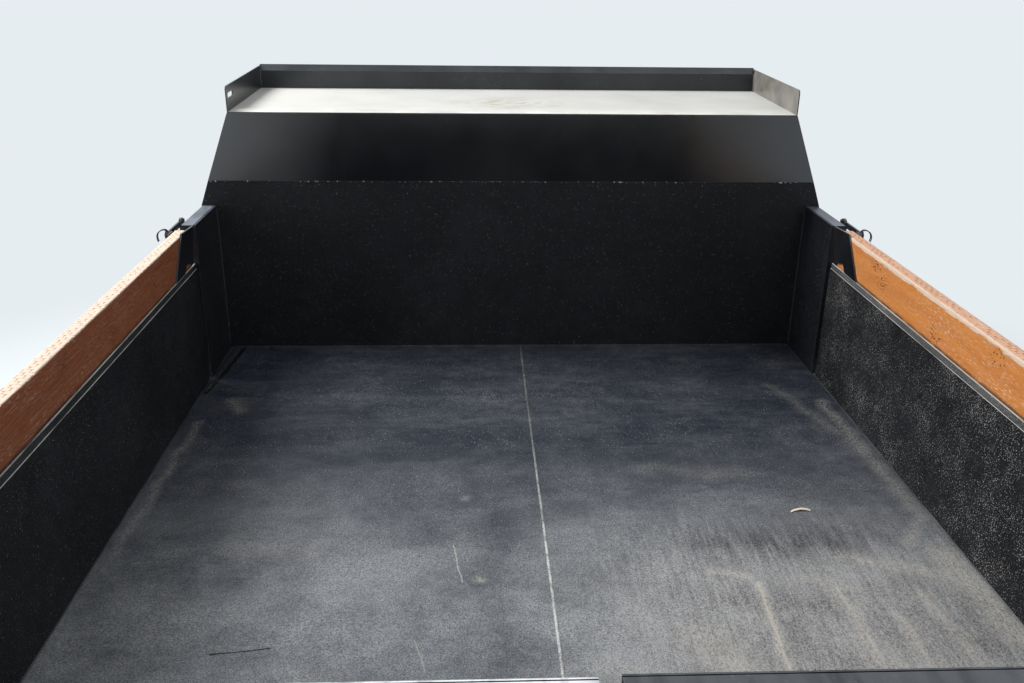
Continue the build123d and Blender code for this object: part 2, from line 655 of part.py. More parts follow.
def gate_top_profile():
    """Top rail of a side: a tube under a channel that the board stands in."""
    z_seat = Z_FLOOR + SIDE_HEIGHT
    z0 = z_seat - TUBE_HEIGHT
    lip0 = HALF + SKIN + LIP_GROOVE
    lip1 = lip0 + LIP_WALL
    z_lip = z_seat + LIP_RISE
    body = outline(
        (HALF + SKIN, z0), (OUTER, z0), (OUTER, z_lip), (OUTER - OUTER_LIP, z_lip), (OUTER - OUTER_LIP, z_seat),
        (lip1, z_seat), (lip1, z_lip - LIP_ROUND), (lip1 - LIP_ROUND, z_lip), (lip0 + LIP_ROUND, z_lip),
        (lip0, z_lip - LIP_ROUND), (lip0, z_seat - LIP_RISE), (HALF + SKIN, z_seat - LIP_RISE),
    )
    bore = rect(HALF + SKIN + TUBE_WALL, OUTER - TUBE_WALL, z0 + TUBE_WALL, z_seat - TUBE_WALL)
    return body - bore


def side_gate():
    """Right side: inner skin, top and bottom rails, end tubes, pressed ribs and hinge straps."""
    z0, z1 = Z_FLOOR + GATE_FLOOR_GAP, Z_FLOOR + SIDE_HEIGHT
    gate = along_y(rect(HALF, HALF + SKIN, z0, z1), GATE_REAR, GATE_FRONT)
    gate += along_y(gate_top_profile(), GATE_REAR, GATE_FRONT)
    gate += along_y(tube_profile(HALF + SKIN, OUTER, z0, z0 + TUBE_HEIGHT, TUBE_WALL, TUBE_CORNER), GATE_REAR, GATE_FRONT)
    z_low, z_high = z0 + TUBE_HEIGHT, z1 - TUBE_HEIGHT
    for y_end, inward in ((GATE_REAR, 1), (GATE_FRONT, -1)):
        upright = end_channel(y_end, inward, HALF + SKIN, OUTER, END_TUBE, TUBE_WALL)
        gate += along_z(upright, z_low, z_high)
    ribs = evenly(GATE_REAR + END_TUBE / 2, GATE_FRONT - END_TUBE / 2, GATE_RIBS + 2)[1:-1]
    for y in ribs:
        hat = hat_profile(y, -HALF - SKIN, -1, GATE_RIB_WIDTH, GATE_RIB_WIDTH * 0.6, GATE_RIB_DEPTH, RIB_WALL)
        gate += along_z(Rot(0, 0, 90) * hat, z_low + RIB_DRAIN, z_high)
    x, z = SIDE_AXIS
    knuckle = hooked_profile(OUTER, OUTER + STRAP, z0 + STRAP, x, z, SIDE_KNUCKLE_R)
    knuckle -= Pos(x, z) * Circle(SIDE_PIN_R + PIN_FIT)
    for y in side_hinge_places():
        gate += along_y(knuckle, y - KNUCKLE_LENGTH / 2, y + KNUCKLE_LENGTH / 2)
        strap = clipped(y - STRAP_WIDTH / 2, y + STRAP_WIDTH / 2, z0, z0 + STRAP_HEIGHT, CORNER_CLIP)
        gate += along_x(strap, OUTER, OUTER + STRAP)
    return gate


def gate_board():
    """The plank in the channel on top of the right side, its long edges slightly rounded."""
    z0 = Z_FLOOR + SIDE_HEIGHT + BOARD_FIT
    x1 = OUTER - OUTER_LIP - BOARD_FIT
    section = Pos(x1 - BOARD_THICK / 2, z0 + BOARD_HEIGHT / 2) * RectangleRounded(BOARD_THICK, BOARD_HEIGHT, BOARD_ROUND)
    return along_y(section, GATE_REAR + BOARD_END, GATE_FRONT - BOARD_END)


def board_pockets():
    """Plates that hold the board's ends from inside, and the stakes that hold it from outside."""
    z_low = Z_FLOOR + SIDE_HEIGHT + LIP_RISE
    z_board = Z_FLOOR + SIDE_HEIGHT + BOARD_FIT + BOARD_HEIGHT
    span = GATE_FRONT + GATE_REAR
    board_in = OUTER - OUTER_LIP - BOARD_FIT - BOARD_THICK
    shape = [
        (POCKET_TOP_FRONT, z_board), (POCKET_TOP_REAR, z_board + POCKET_ABOVE_BOARD), (POCKET_LOW_REAR, z_low),
        (POCKET_NOTCH_REAR, z_low), (POCKET_NOTCH_TOP, z_low + POCKET_NOTCH_RISE),
        (POCKET_LOW_FRONT, z_low + POCKET_LOW_RISE),
    ]
    x0 = HALF + SKIN + LIP_GROOVE
    thickness = min(POCKET_WALL, board_in - BOARD_FIT / 2 - x0)
    stake_x = OUTER
    stake_low = Z_FLOOR + SIDE_HEIGHT - STAKE_LOW
    pieces = []
    for flip in (False, True):
        places = [(span - (GATE_FRONT - back) if flip else GATE_FRONT - back, z) for back, z in shape]
        plate = along_x(outline(*places), x0, x0 + thickness)
        y_stake = GATE_FRONT - STAKE_BACK
        y_stake = span - y_stake if flip else y_stake
        stake = clipped(y_stake - STAKE_WIDTH / 2, y_stake + STAKE_WIDTH / 2, stake_low, z_board, CORNER_CLIP)
        pieces += [plate, along_x(stake, stake_x, stake_x + STRAP)]
    return solids(pieces)


def gate_latches():
    """Flat latch bars near the top of both ends, reaching over the posts, each on its bolt."""
    span = GATE_FRONT + GATE_REAR
    x0 = OUTER + STRAP
    z = Z_FLOOR + LATCH_BAR_Z
    y_front = -FRONT_POST_DEPTH + LATCH_OVER_POST
    bar = clipped(y_front - LATCH_BAR_LENGTH, y_front, z - LATCH_BAR_HEIGHT / 2, z + LATCH_BAR_HEIGHT / 2, CORNER_CLIP)
    latch = along_x(bar, x0, x0 + LATCH_BAR_THICK)
    bolt = Pos(GATE_FRONT - STAKE_BACK, z) * RegularPolygon(LATCH_BOLT_R, 6)
    latch += along_x(bolt, x0 + LATCH_BAR_THICK, x0 + LATCH_BAR_THICK + PIN_HEAD)
    rear = mirror(latch, about=Plane.XZ)
    return solids([latch, Pos(0, span, 0) * rear])


# Tailgate leaves

def lock_rod_places():
    """Where the lock rods of the left and right leaf are along X."""
    left = LEAF_GAP_CENTRE - LEAF_GAP / 2 - LOCK_ROD_INSET
    right = LEAF_GAP_CENTRE + LEAF_GAP / 2 + LOCK_ROD_INSET
    return left, right


def leaf_hinges():
    """The bed's half of a right leaf's hinges: lugs on the rear post, with their pins."""
    x, y = LEAF_AXIS
    lug = ear_profile(x, y, LEAF_KNUCKLE_R, OUTER, OUTER + STRAP, FLOOR_END, FLOOR_END + LEAF_LUG_ROOT)
    half = KNUCKLE_LENGTH / 2 + KNUCKLE_GAP
    pieces = []
    for height in LEAF_HINGE_HEIGHTS:
        z = Z_FLOOR + height
        hinge = along_z(lug, z + half, z + half + LUG_LENGTH) + along_z(lug, z - half - LUG_LENGTH, z - half)
        hinge += along_z(Pos(x, y) * Circle(LEAF_PIN_R), z - half, z + half)
        pieces.append(hinge)
    return solids(pieces)


def tail_leaf(x_free, drop):
    """A leaf drawn on the right: skin, rim tubes, ribs and the straps it hangs from.

    x_free is the distance of its free edge from the middle, and drop lowers the sheet.
    """
    x_edge = OUTER - LEAF_EDGE_INSET
    z0, z1 = Z_FLOOR - LEAF_BOTTOM, Z_FLOOR + POST_HEIGHT - drop
    y_skin = LEAF_IN - SKIN
    leaf = along_y(rect(x_free, x_edge, z0, z1), y_skin, LEAF_IN)
    for low in (z0, z1 - LEAF_TUBE):
        section = tube_profile(LEAF_OUT, y_skin, low, low + LEAF_TUBE, SKIN, TUBE_CORNER)
        leaf += along_x(section, x_free, x_edge)
    z_low, z_high = z0 + LEAF_TUBE, z1 - LEAF_TUBE
    for x_web, inward in ((x_free, 1), (x_edge, -1)):
        section = channel_profile(x_web, inward, LEAF_OUT, y_skin, LEAF_TUBE, SKIN)
        leaf += along_z(section, z_low, z_high)
    for x in evenly(x_free + LEAF_TUBE / 2, x_edge - LEAF_TUBE / 2, LEAF_RIBS + 2)[1:-1]:
        hat = hat_profile(x, y_skin, -1, GATE_RIB_WIDTH, GATE_RIB_WIDTH * 0.6, LEAF_THICK - SKIN - 2, RIB_WALL)
        leaf += along_z(hat, z_low + RIB_DRAIN, z_high)
    x, y = LEAF_AXIS
    knuckle = octagon(x, y, LEAF_KNUCKLE_R) + rect(x_edge - STRAP, x, LEAF_OUT - STRAP, LEAF_OUT)
    knuckle -= Pos(x, y) * Circle(LEAF_PIN_R + PIN_FIT)
    for height in LEAF_HINGE_HEIGHTS:
        z = Z_FLOOR + height
        leaf += along_z(knuckle, z - KNUCKLE_LENGTH / 2, z + KNUCKLE_LENGTH / 2)
        strap = outline((x_edge, z - LEAF_STRAP_HEIGHT / 2), (x_edge, z + LEAF_STRAP_HEIGHT / 2),
                        (x_edge - LEAF_STRAP_LENGTH, z + LEAF_STRAP_HEIGHT / 4),
                        (x_edge - LEAF_STRAP_LENGTH, z - LEAF_STRAP_HEIGHT / 4))
        leaf += along_y(strap, LEAF_OUT - STRAP, LEAF_OUT)
    return leaf


def leaf_lock(x_rod):
    """Lock rod of a right leaf in its guides, with the lever that lifts it."""
    y = LEAF_OUT - LOCK_ROD_OFF - LOCK_ROD_R
    z_low = Z_FLOOR - KEEPER_DROP + LOCK_ROD_LIFT
    lock = along_z(octagon(x_rod, y, LOCK_ROD_R), z_low, Z_FLOOR + LOCK_ROD_TOP)
    for height in LOCK_GUIDE_HEIGHTS:
        z = Z_FLOOR + height
        depth = LOCK_ROD_OFF + 2 * LOCK_ROD_R + LOCK_GUIDE_WALL
        arch = LOCK_ROD_R + 2 * LOCK_GUIDE_WALL
        guide = outline(
            (x_rod - LOCK_GUIDE_WIDTH / 2, LEAF_OUT), (x_rod - LOCK_GUIDE_WIDTH / 2, LEAF_OUT - LOCK_GUIDE_WALL),
            (x_rod - arch, LEAF_OUT - LOCK_GUIDE_WALL), (x_rod - LOCK_ROD_R, LEAF_OUT - depth),
            (x_rod + LOCK_ROD_R, LEAF_OUT - depth), (x_rod + arch, LEAF_OUT - LOCK_GUIDE_WALL),
            (x_rod + LOCK_GUIDE_WIDTH / 2, LEAF_OUT - LOCK_GUIDE_WALL),
            (x_rod + LOCK_GUIDE_WIDTH / 2, LEAF_OUT),
        )
        lock += along_z(guide, z - LOCK_GUIDE_HEIGHT / 2, z + LOCK_GUIDE_HEIGHT / 2)
    z_lever = Z_FLOOR + LOCK_LEVER_HEIGHT
    lever = clipped(x_rod - LOCK_ROD_R, x_rod + LOCK_LEVER, z_lever - LOCK_LEVER_WIDTH / 2,
                    z_lever + LOCK_LEVER_WIDTH / 2, CORNER_CLIP)
    lock += along_y(lever, y - LOCK_ROD_R, y - LOCK_ROD_R + STRAP)
    return lock


# Hoist

def hoist_line():
    """Base pin, direction to the head pin and the distance between them, in Y and Z."""
    y0, z0 = HINGE_Y + BASE_FORWARD, BASE_Z
    dy, dz = HINGE_Y + HEAD_FORWARD - y0, HEAD_Z - z0
    length = hypot(dy, dz)
    return (y0, z0), (dy / length, dz / length), length


def on_hoist(radius, start, end):
    """A round bar on the hoist's axis, between two distances from the base pin."""
    (y0, z0), (uy, uz), _ = hoist_line()
    plane = Plane(origin=(0, y0 + uy * start, z0 + uz * start), x_dir=(1, 0, 0), z_dir=(0, uy, uz))
    return extrude(plane * Circle(radius), end - start)


def hoist_neck(start, end):
    """A square bar on the hoist's axis, as thick as the eyes are wide."""
    (y0, z0), (uy, uz), _ = hoist_line()
    plane = Plane(origin=(0, y0 + uy * start, z0 + uz * start), x_dir=(1, 0, 0), z_dir=(0, uy, uz))
    return extrude(plane * Rectangle(HOIST_EYE_WIDTH, HOIST_EYE_WIDTH), end - start)


def hoist_eye(at, width):
    """The round eye across the hoist's axis at a distance from the base pin."""
    (y0, z0), (uy, uz), _ = hoist_line()
    return along_x(Pos(y0 + uy * at, z0 + uz * at) * Circle(HOIST_EYE_R), -width / 2, width / 2)


def stage_table():
    """Outer radius, bore radius, start and end of each tube of the hoist, from outside in."""
    length = hoist_line()[2]
    end = length - HEAD_NECK - HOIST_EYE_R / 2
    rows = []
    outer, wall = BARREL_R, BARREL_WALL
    for index in range(3):
        bore = outer - wall
        start = BARREL_START + BARREL_BASE + STAGE_NEST * index if index else BARREL_START
        rows.append((outer, bore, start, end - (2 - index) * STAGE_STEP - STAGE_STEP))
        outer, wall = bore - STAGE_FIT, STAGE_WALL
    rows.append((outer, 0, BARREL_START + BARREL_BASE + 3 * STAGE_NEST, end))
    return rows


def hoist_tube(index, base):
    """One tube of the hoist, closed at the base by a plug of the given thickness."""
    outer, bore, start, end = stage_table()[index]
    return on_hoist(outer, start, end) - on_hoist(bore, start + base, end + 1)


def hoist_barrel():
    """Outermost tube with its gland ring and the eye that turns on the base pin."""
    outer, bore, start, end = stage_table()[0]
    barrel = hoist_tube(0, BARREL_BASE)
    barrel += on_hoist(outer + GLAND_PROUD, end - GLAND_LENGTH, end) - on_hoist(bore, end - 2 * GLAND_LENGTH, end + 1)
    barrel += hoist_neck(0, start + 1)
    barrel += hoist_eye(0, HOIST_EYE_WIDTH)
    (y0, z0), _, _ = hoist_line()
    return barrel - along_x(Pos(y0, z0) * Circle(HOIST_PIN_R + PIN_FIT), -HOIST_EYE_WIDTH, HOIST_EYE_WIDTH)


def hoist_rod():
    """Innermost rod with its neck and the eye between the head ears."""
    outer, _, start, end = stage_table()[3]
    length = hoist_line()[2]
    rod = on_hoist(outer, start, end) + hoist_neck(end - 1, length)
    return rod + hoist_eye(length, HOIST_EYE_WIDTH)


def hoist_ratios():
    """Barrel turn and total lengthening per radian of tip, exact at both ends of the travel."""
    base = (BASE_FORWARD, BASE_Z - HINGE_Z)
    head = (HEAD_FORWARD, HEAD_Z - HINGE_Z)
    tip = radians(TIP_ANGLE)
    turned = (head[0] * cos(tip) - head[1] * sin(tip), head[0] * sin(tip) + head[1] * cos(tip))
    first = (head[0] - base[0], head[1] - base[1])
    last = (turned[0] - base[0], turned[1] - base[1])
    swing = atan2(last[1], last[0]) - atan2(first[1], first[0])
    growth = hypot(*last) - hypot(*first)
    return swing / tip, growth / tip


left_free = LEAF_GAP / 2 - LEAF_GAP_CENTRE
right_free = LEAF_GAP / 2 + LEAF_GAP_CENTRE
rod_left, rod_right = lock_rod_places()

nodes = {
    "subframe_rails": both_sides(frame_rail()),
    "subframe_crossmembers": frame_crosses(),
    "mounting_clips": mounting_clips(),
    "rest_strips": rest_strips(),
    "rear_hinge_mount": both_sides(rear_hinge_mount()),
    "hoist_base": hoist_base(),
    "floor_left": floor_plate(-HALF, FLOOR_SEAM_X),
    "floor_right": floor_plate(FLOOR_SEAM_X, HALF),
    "bed_sills": both_sides(bed_sill()),
    "bed_crossmembers": bed_crosses(),
    "edge_rails": both_sides(edge_rail()),
    "bed_hinge_lugs": both_sides(bed_hinge_lugs()),
    "hoist_head_bracket": hoist_head_bracket(),
    "rear_bolster": rear_bolster(),
    "rear_lamps": rear_lamps(),
    "headboard_lower": headboard_lower(),
    "headboard_upper": headboard_upper(),
    "headboard_ribs": headboard_ribs(),
    "cab_shield": cab_shield(),
    "shield_gussets": shield_gussets(),
    "front_posts": both_sides(post(FRONT_POST_DEPTH, 0)),
    "rear_posts": both_sides(post(REAR_POST_DEPTH, FLOOR_END + REAR_POST_DEPTH)),
    "side_hinges": both_sides(side_hinges()),
    "leaf_hinges": both_sides(leaf_hinges()),
    "tail_leaf_right": tail_leaf(right_free, 0),
    "tail_leaf_left": on_left(tail_leaf(left_free, LEFT_LEAF_DROP)),
    "leaf_lock_right": leaf_lock(rod_right),
    "leaf_lock_left": on_left(leaf_lock(-rod_left)),
    "hoist_barrel": hoist_barrel(),
    "hoist_stage_1": hoist_tube(1, SKIN),
    "hoist_stage_2": hoist_tube(2, SKIN),
    "hoist_rod": hoist_rod(),
}
side_pieces = {
    "side_gate": side_gate(),
    "gate_board": gate_board(),
    "board_pockets": board_pockets(),
    "gate_latches": gate_latches(),
}
for name, shape in side_pieces.items():
    nodes[f"{name}_right"] = shape
    nodes[f"{name}_left"] = on_left(shape)

boxes = [shape.bounding_box() for shape in nodes.values()]
shift = -(min(box.min.Y for box in boxes) + max(box.max.Y for box in boxes)) / 2

os.makedirs("parts", exist_ok=True)
for name, shape in nodes.items():
    export_step(Pos(0, shift, 0) * shape, f"parts/{name}.step")

base_pin, direction, closed_length = hoist_line()
swing_ratio, growth_ratio = hoist_ratios()
print(f"headboard face Y {shift:.3f}, floor Z {Z_FLOOR:.3f}")
print(f"tip hinge Y {HINGE_Y + shift:.3f} Z {HINGE_Z:.3f}")
print(f"side axis X {SIDE_AXIS[0]:.3f} Z {SIDE_AXIS[1]:.3f}")
print(f"leaf axis X {LEAF_AXIS[0]:.3f} Y {LEAF_AXIS[1] + shift:.3f}")
print(f"hoist base Y {base_pin[0] + shift:.3f} Z {base_pin[1]:.3f} direction {direction} length {closed_length:.3f}")
print(f"hoist swing ratio {swing_ratio:.6f}, growth per radian {growth_ratio:.3f}")
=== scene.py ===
"""Looks of a steel dump body: its finishes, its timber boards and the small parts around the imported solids.

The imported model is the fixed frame. Sizes in the classes are millimetres in the row frame,
and everything handed to Blender is metres.
"""
from __future__ import annotations

import logging
import math
import random
from dataclasses import dataclass, field
from enum import Enum
from typing import Any, Callable, Iterable, Union

import bpy
from mathutils import Matrix, Vector, noise

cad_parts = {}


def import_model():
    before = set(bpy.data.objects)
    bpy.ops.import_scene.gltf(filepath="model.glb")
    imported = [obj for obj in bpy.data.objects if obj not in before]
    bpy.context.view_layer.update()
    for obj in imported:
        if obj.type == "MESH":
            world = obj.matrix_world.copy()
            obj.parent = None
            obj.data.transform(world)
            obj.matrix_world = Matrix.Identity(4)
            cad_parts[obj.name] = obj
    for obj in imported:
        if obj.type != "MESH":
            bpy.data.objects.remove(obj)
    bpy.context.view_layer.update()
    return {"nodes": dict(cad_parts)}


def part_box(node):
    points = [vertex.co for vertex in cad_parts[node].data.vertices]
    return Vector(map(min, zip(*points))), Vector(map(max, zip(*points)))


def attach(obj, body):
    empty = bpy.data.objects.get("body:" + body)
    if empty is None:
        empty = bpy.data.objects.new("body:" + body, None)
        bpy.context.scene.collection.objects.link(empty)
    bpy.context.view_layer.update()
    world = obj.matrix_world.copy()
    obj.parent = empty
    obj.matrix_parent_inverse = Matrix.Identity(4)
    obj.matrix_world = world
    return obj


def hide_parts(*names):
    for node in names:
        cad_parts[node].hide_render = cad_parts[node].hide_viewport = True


MM = 0.001
LOG = logging.getLogger("dump_body")
Test = Callable[[Vector, Vector], bool]
Spot = tuple[float, float]
Point = tuple[float, float, float]
# A pattern in a material: an output of a node, or a node that stands for its first output in use.
Source = Union[bpy.types.Node, bpy.types.NodeSocket]


class Side(Enum):
    """The two sides of the body, with the sign of their X."""

    RIGHT = 1
    LEFT = -1

    @property
    def word(self) -> str:
        """The side's word in the names of nodes and bodies."""
        return self.name.lower()


class Slot(Enum):
    """Material slots of the record."""

    LINER = "bedliner"
    PAINT = "black_paint"
    WOOD = "board_wood"
    ZINC = "zinc"
    RUBBER = "strip_rubber"
    LENS = "lamp_lens"
    CHROME = "rod_chrome"


def linear(code: str) -> tuple[float, float, float, float]:
    """Turns an sRGB hex colour into linear RGBA.

    Args:
        code: Colour such as "#a0b1c2".

    Returns:
        Red, green, blue and alpha, linear.
    """
    parts = [int(code[i:i + 2], 16) / 255 for i in (1, 3, 5)]
    red, green, blue = (c / 12.92 if c <= 0.04045 else ((c + 0.055) / 1.055) ** 2.4 for c in parts)
    return red, green, blue, 1.0


def feed(socket: bpy.types.NodeSocket, value: Any) -> None:
    """Gives an input a plain value, or links it to a node or to one of a node's outputs."""
    if isinstance(value, bpy.types.Node):
        value = next(output for output in value.outputs if output.enabled)
    if isinstance(value, bpy.types.NodeSocket):
        socket.id_data.links.new(value, socket)
    else:
        socket.default_value = value


def add_node(tree: bpy.types.NodeTree, kind: str, *values: Any, named: dict[str, Any] | None = None,
             **settings: Any) -> bpy.types.Node:
    """Adds a shader node with its settings and links.

    Args:
        tree: Tree that gets the node.
        kind: Blender's name of the node type, without "ShaderNode".
        values: Values, nodes or their outputs for the inputs in use, in their order.
        named: The same for single inputs, by their names.
        settings: Attributes of the node.

    Returns:
        The new node.
    """
    node = tree.nodes.new("ShaderNode" + kind)
    for name, value in settings.items():
        setattr(node, name, value)
    used = [socket for socket in node.inputs if socket.enabled]
    for socket, value in zip(used, values):
        feed(socket, value)
    for name, value in (named or {}).items():
        feed(node.inputs[name], value)
    return node


@dataclass(frozen=True)
class Mark:
    """A straight mark on the floor: its ends, half its width and its strength, in millimetres."""

    start: Spot
    end: Spot
    half: float
    strength: float


@dataclass
class Bench:
    """A material under work: its tree, its shader and the coordinates that patterns read."""

    tree: bpy.types.NodeTree
    shader: bpy.types.Node
    place: Source
    facing: Source

    def add(self, kind: str, *values: Any, **settings: Any) -> bpy.types.Node:
        """Adds a node to this material's tree."""
        return add_node(self.tree, kind, *values, **settings)

    def patches(self, size: float, low: float, high: float, stretch: Point = (1, 1, 1),
                detail: float = 4.0, rough: float = 0.55) -> Source:
        """Irregular patches between 0 and 1.

        Args:
            size: Size of a patch in millimetres.
            low: Noise level that gives 0.
            high: Noise level that gives 1.
            stretch: How many times longer the patches are along each axis.
            detail: Octaves of finer detail.
            rough: Strength of the finer detail.

        Returns:
            The pattern.
        """
        scale = tuple(1 / s for s in stretch)
        moved = self.add("Mapping", named={"Vector": self.place, "Scale": scale})
        cloud = self.add("TexNoise", moved, 1000 / size, detail, rough)
        return self.add("MapRange", cloud, low, high)

    def product(self, *parts: Any) -> Source:
        """What several patterns and shares leave of each other."""
        left = parts[0]
        for part in parts[1:]:
            left = self.add("Math", left, part, operation="MULTIPLY")
        return left

    def total(self, *parts: Any) -> Source:
        """Several patterns laid together, up to 1."""
        whole = parts[0]
        for part in parts[1:]:
            whole = self.add("Math", whole, part, operation="ADD", use_clamp=True)
        return whole

    def over(self, under: Any, code: str, *shares: Any) -> bpy.types.Node:
        """Lays a colour over another.

        Args:
            under: Colour below, or the node that makes it.
            code: Upper colour, such as "#a0b1c2".
            shares: Patterns and shares whose product says how far it covers.

        Returns:
            The mixed colour.
        """
        return self.add("Mix", self.product(*shares), under, linear(code), data_type="RGBA")

    def ramp(self, axis: int, start: float, end: float) -> Source:
        """Goes from 0 to 1 along an axis of the row frame.

        Args:
            axis: 0, 1 or 2 for X, Y or Z.
            start: Millimetres where it is 0.
            end: Millimetres where it is 1.

        Returns:
            The ramp.
        """
        parts = self.add("SeparateXYZ", self.place)
        return self.add("MapRange", parts.outputs[axis], start * MM, end * MM,
                        interpolation_type="SMOOTHSTEP")

    def upward(self, low: float, high: float) -> Source:
        """Goes from 0 to 1 as the surface turns to face up."""
        parts = self.add("SeparateXYZ", self.facing)
        return self.add("MapRange", parts.outputs[2], low, high)

    def wobbled(self, size: float, reach: float) -> Source:
        """The place, pushed about by soft noise, for marks with uneven outlines.

        Args:
            size: Size of the waves in millimetres.
            reach: Furthest push in millimetres.

        Returns:
            The pushed place.
        """
        cloud = self.add("TexNoise", self.place, 1000 / size, 3.0)
        spread = self.add("VectorMath", cloud.outputs["Color"], (0.5, 0.5, 0.5), operation="SUBTRACT")
        push = self.add("VectorMath", spread, 4 * reach * MM, operation="SCALE")
        return self.add("VectorMath", self.place, push, operation="ADD")

    def stroke(self, course: Source, start: Spot, end: Spot, half: float) -> Source:
        """A mark along a straight line on a level face, 1 in its middle and 0 at its rim.

        Args:
            course: Place that the mark reads.
            start: X and Y of one end in millimetres.
            end: X and Y of the other end in millimetres.
            half: Half its width in millimetres.

        Returns:
            The mark.
        """
        length = math.dist(start, end)
        angle = math.atan2(end[1] - start[1], end[0] - start[0])
        turned = self.add("Mapping", named={"Vector": course, "Location": (start[0] * MM, start[1] * MM, 0.0),
                                            "Rotation": (0.0, 0.0, angle), "Scale": (1.0, 1.0, 0.0)},
                          vector_type="TEXTURE")
        parts = self.add("SeparateXYZ", turned)
        held = self.add("Clamp", parts, 0.0, length * MM, clamp_type="RANGE")
        past = self.add("Math", parts, held, operation="SUBTRACT")
        away = self.add("CombineXYZ", past, parts.outputs[1])
        far = self.add("VectorMath", away, operation="LENGTH")
        return self.add("MapRange", far, half * MM, 0.0)

    def strokes(self, course: Source, marks: Iterable[Mark]) -> Source:
        """All of several marks, each at its own strength."""
        total = None
        for mark in marks:
            one = self.product(self.stroke(course, mark.start, mark.end, mark.half), mark.strength)
            total = one if total is None else self.add("Math", total, one, operation="MAXIMUM")
        return total

    def edges(self, width: float) -> Source:
        """Goes to 1 along the convex and concave edges of the mesh, over a width in millimetres."""
        soft = self.add("Bevel", named={"Radius": width * MM}, samples=2)
        true = self.add("NewGeometry")
        dot = self.add("VectorMath", soft, true.outputs["True Normal"], operation="DOT_PRODUCT")
        return self.add("MapRange", dot, 0.985, 0.86)


@dataclass
class Layer:
    """One coat on a surface: its colour, roughness and relief in millimetres."""

    colour: Any
    roughness: Any
    height: Any


@dataclass(frozen=True)
class Finish:
    """A named finish that builds its material once."""

    name: str

    def material(self) -> bpy.types.Material:
        """Returns the finish's material, built at its first use."""
        found = bpy.data.materials.get(self.name)
        if found is not None:
            return found
        made = bpy.data.materials.new(self.name)
        made.use_nodes = True
        tree = made.node_tree
        tree.nodes.clear()
        shader = add_node(tree, "BsdfPrincipled")
        add_node(tree, "OutputMaterial", named={"Surface": shader})
        source = add_node(tree, "TexCoord")
        self.paint(Bench(tree, shader, source.outputs["Object"], source.outputs["Normal"]))
        return made

    def paint(self, bench: Bench) -> None:
        """Builds the finish on the bench."""
        raise NotImplementedError

    def coat(self, bench: Bench, layer: Layer) -> None:
        """Connects a layer to the shader.

        Args:
            bench: Material under work.
            layer: Coat that the surface shows.
        """
        feed(bench.shader.inputs["Base Color"], layer.colour)
        feed(bench.shader.inputs["Roughness"], layer.roughness)
        relief = bench.add("Bump", named={"Strength": 1.0, "Distance": MM, "Height": layer.height})
        feed(bench.shader.inputs["Normal"], relief)


@dataclass(frozen=True)
class Enamel(Finish):
    """Black chassis enamel, sprayed on steel: semi-gloss, a fine orange peel, dust where it faces up."""

    base: str = "#101216"
    faded: str = "#1d2026"
    dust: str = "#9a9ea4"
    worn: str = "#6a6d72"
    mud: str = "#78726a"
    rust: str = "#64371f"
    gloss: float = 0.30
    dust_most: float = 0.42
    film: float = 0.05
    specks: float = 0.16
    # Share of painted reflection at the panel's two ends, laid as a film of dust.
    ends: float = 0.0
    splash: float = 0.34
    # Orange peel of sprayed enamel is 1 to 2 mm wide; drawn coarser, so that it shows.
    peel: float = 2.5

    def layer(self, bench: Bench) -> Layer:
        """Builds the enamel's coat.

        Args:
            bench: Material under work.

        Returns:
            The coat.
        """
        faded = bench.patches(420, 0.40, 0.66)
        colour = bench.over(linear(self.base), self.faded, faded, 0.55)
        lying = bench.product(bench.upward(0.35, 0.95), bench.patches(140, 0.25, 0.75, detail=6))
        specks = bench.product(bench.patches(5, 0.62, 0.72, detail=2), bench.patches(90, 0.40, 0.62))
        dusty = bench.total(bench.product(lying, self.dust_most), bench.product(specks, self.specks))
        dusty = bench.total(dusty, bench.product(bench.patches(260, 0.35, 0.7, detail=7), self.film))
        # Painted reflection: towards the panel's ends, |X| from 620 to 1060 mm, the dust colour is laid
        # thicker and stands in for the sky's reflection at its edges.
        if self.ends:
            width = bench.add("Math", bench.add("SeparateXYZ", bench.wobbled(300, 40)), operation="ABSOLUTE")
            near = bench.add("MapRange", width, 620 * MM, 1060 * MM)
            dusty = bench.total(dusty, bench.product(near, self.ends))
        colour = bench.over(colour, self.dust, dusty)
        splash = bench.product(bench.ramp(2, 440, 210), bench.patches(70, 0.38, 0.66, detail=7, rough=0.72))
        splash = bench.product(splash, self.splash)
        colour = bench.over(colour, self.mud, splash)
        edge = bench.edges(2.2)
        rubbed = bench.product(edge, bench.patches(60, 0.38, 0.62))
        colour = bench.over(colour, self.worn, rubbed, 0.6)
        rusty = bench.product(edge, bench.patches(15, 0.60, 0.68, detail=3))
        colour = bench.over(colour, self.rust, rusty, 0.8)
        roughness = bench.add("Mix", bench.add("Math", dusty, splash, operation="MAXIMUM"), self.gloss, 0.75)
        height = bench.add("Mix", bench.patches(self.peel, 0.0, 1.0, detail=1), 0.0, 0.05)
        return Layer(colour, roughness, height)

    def paint(self, bench: Bench) -> None:
        """Coats the surface with enamel."""
        self.coat(bench, self.layer(bench))


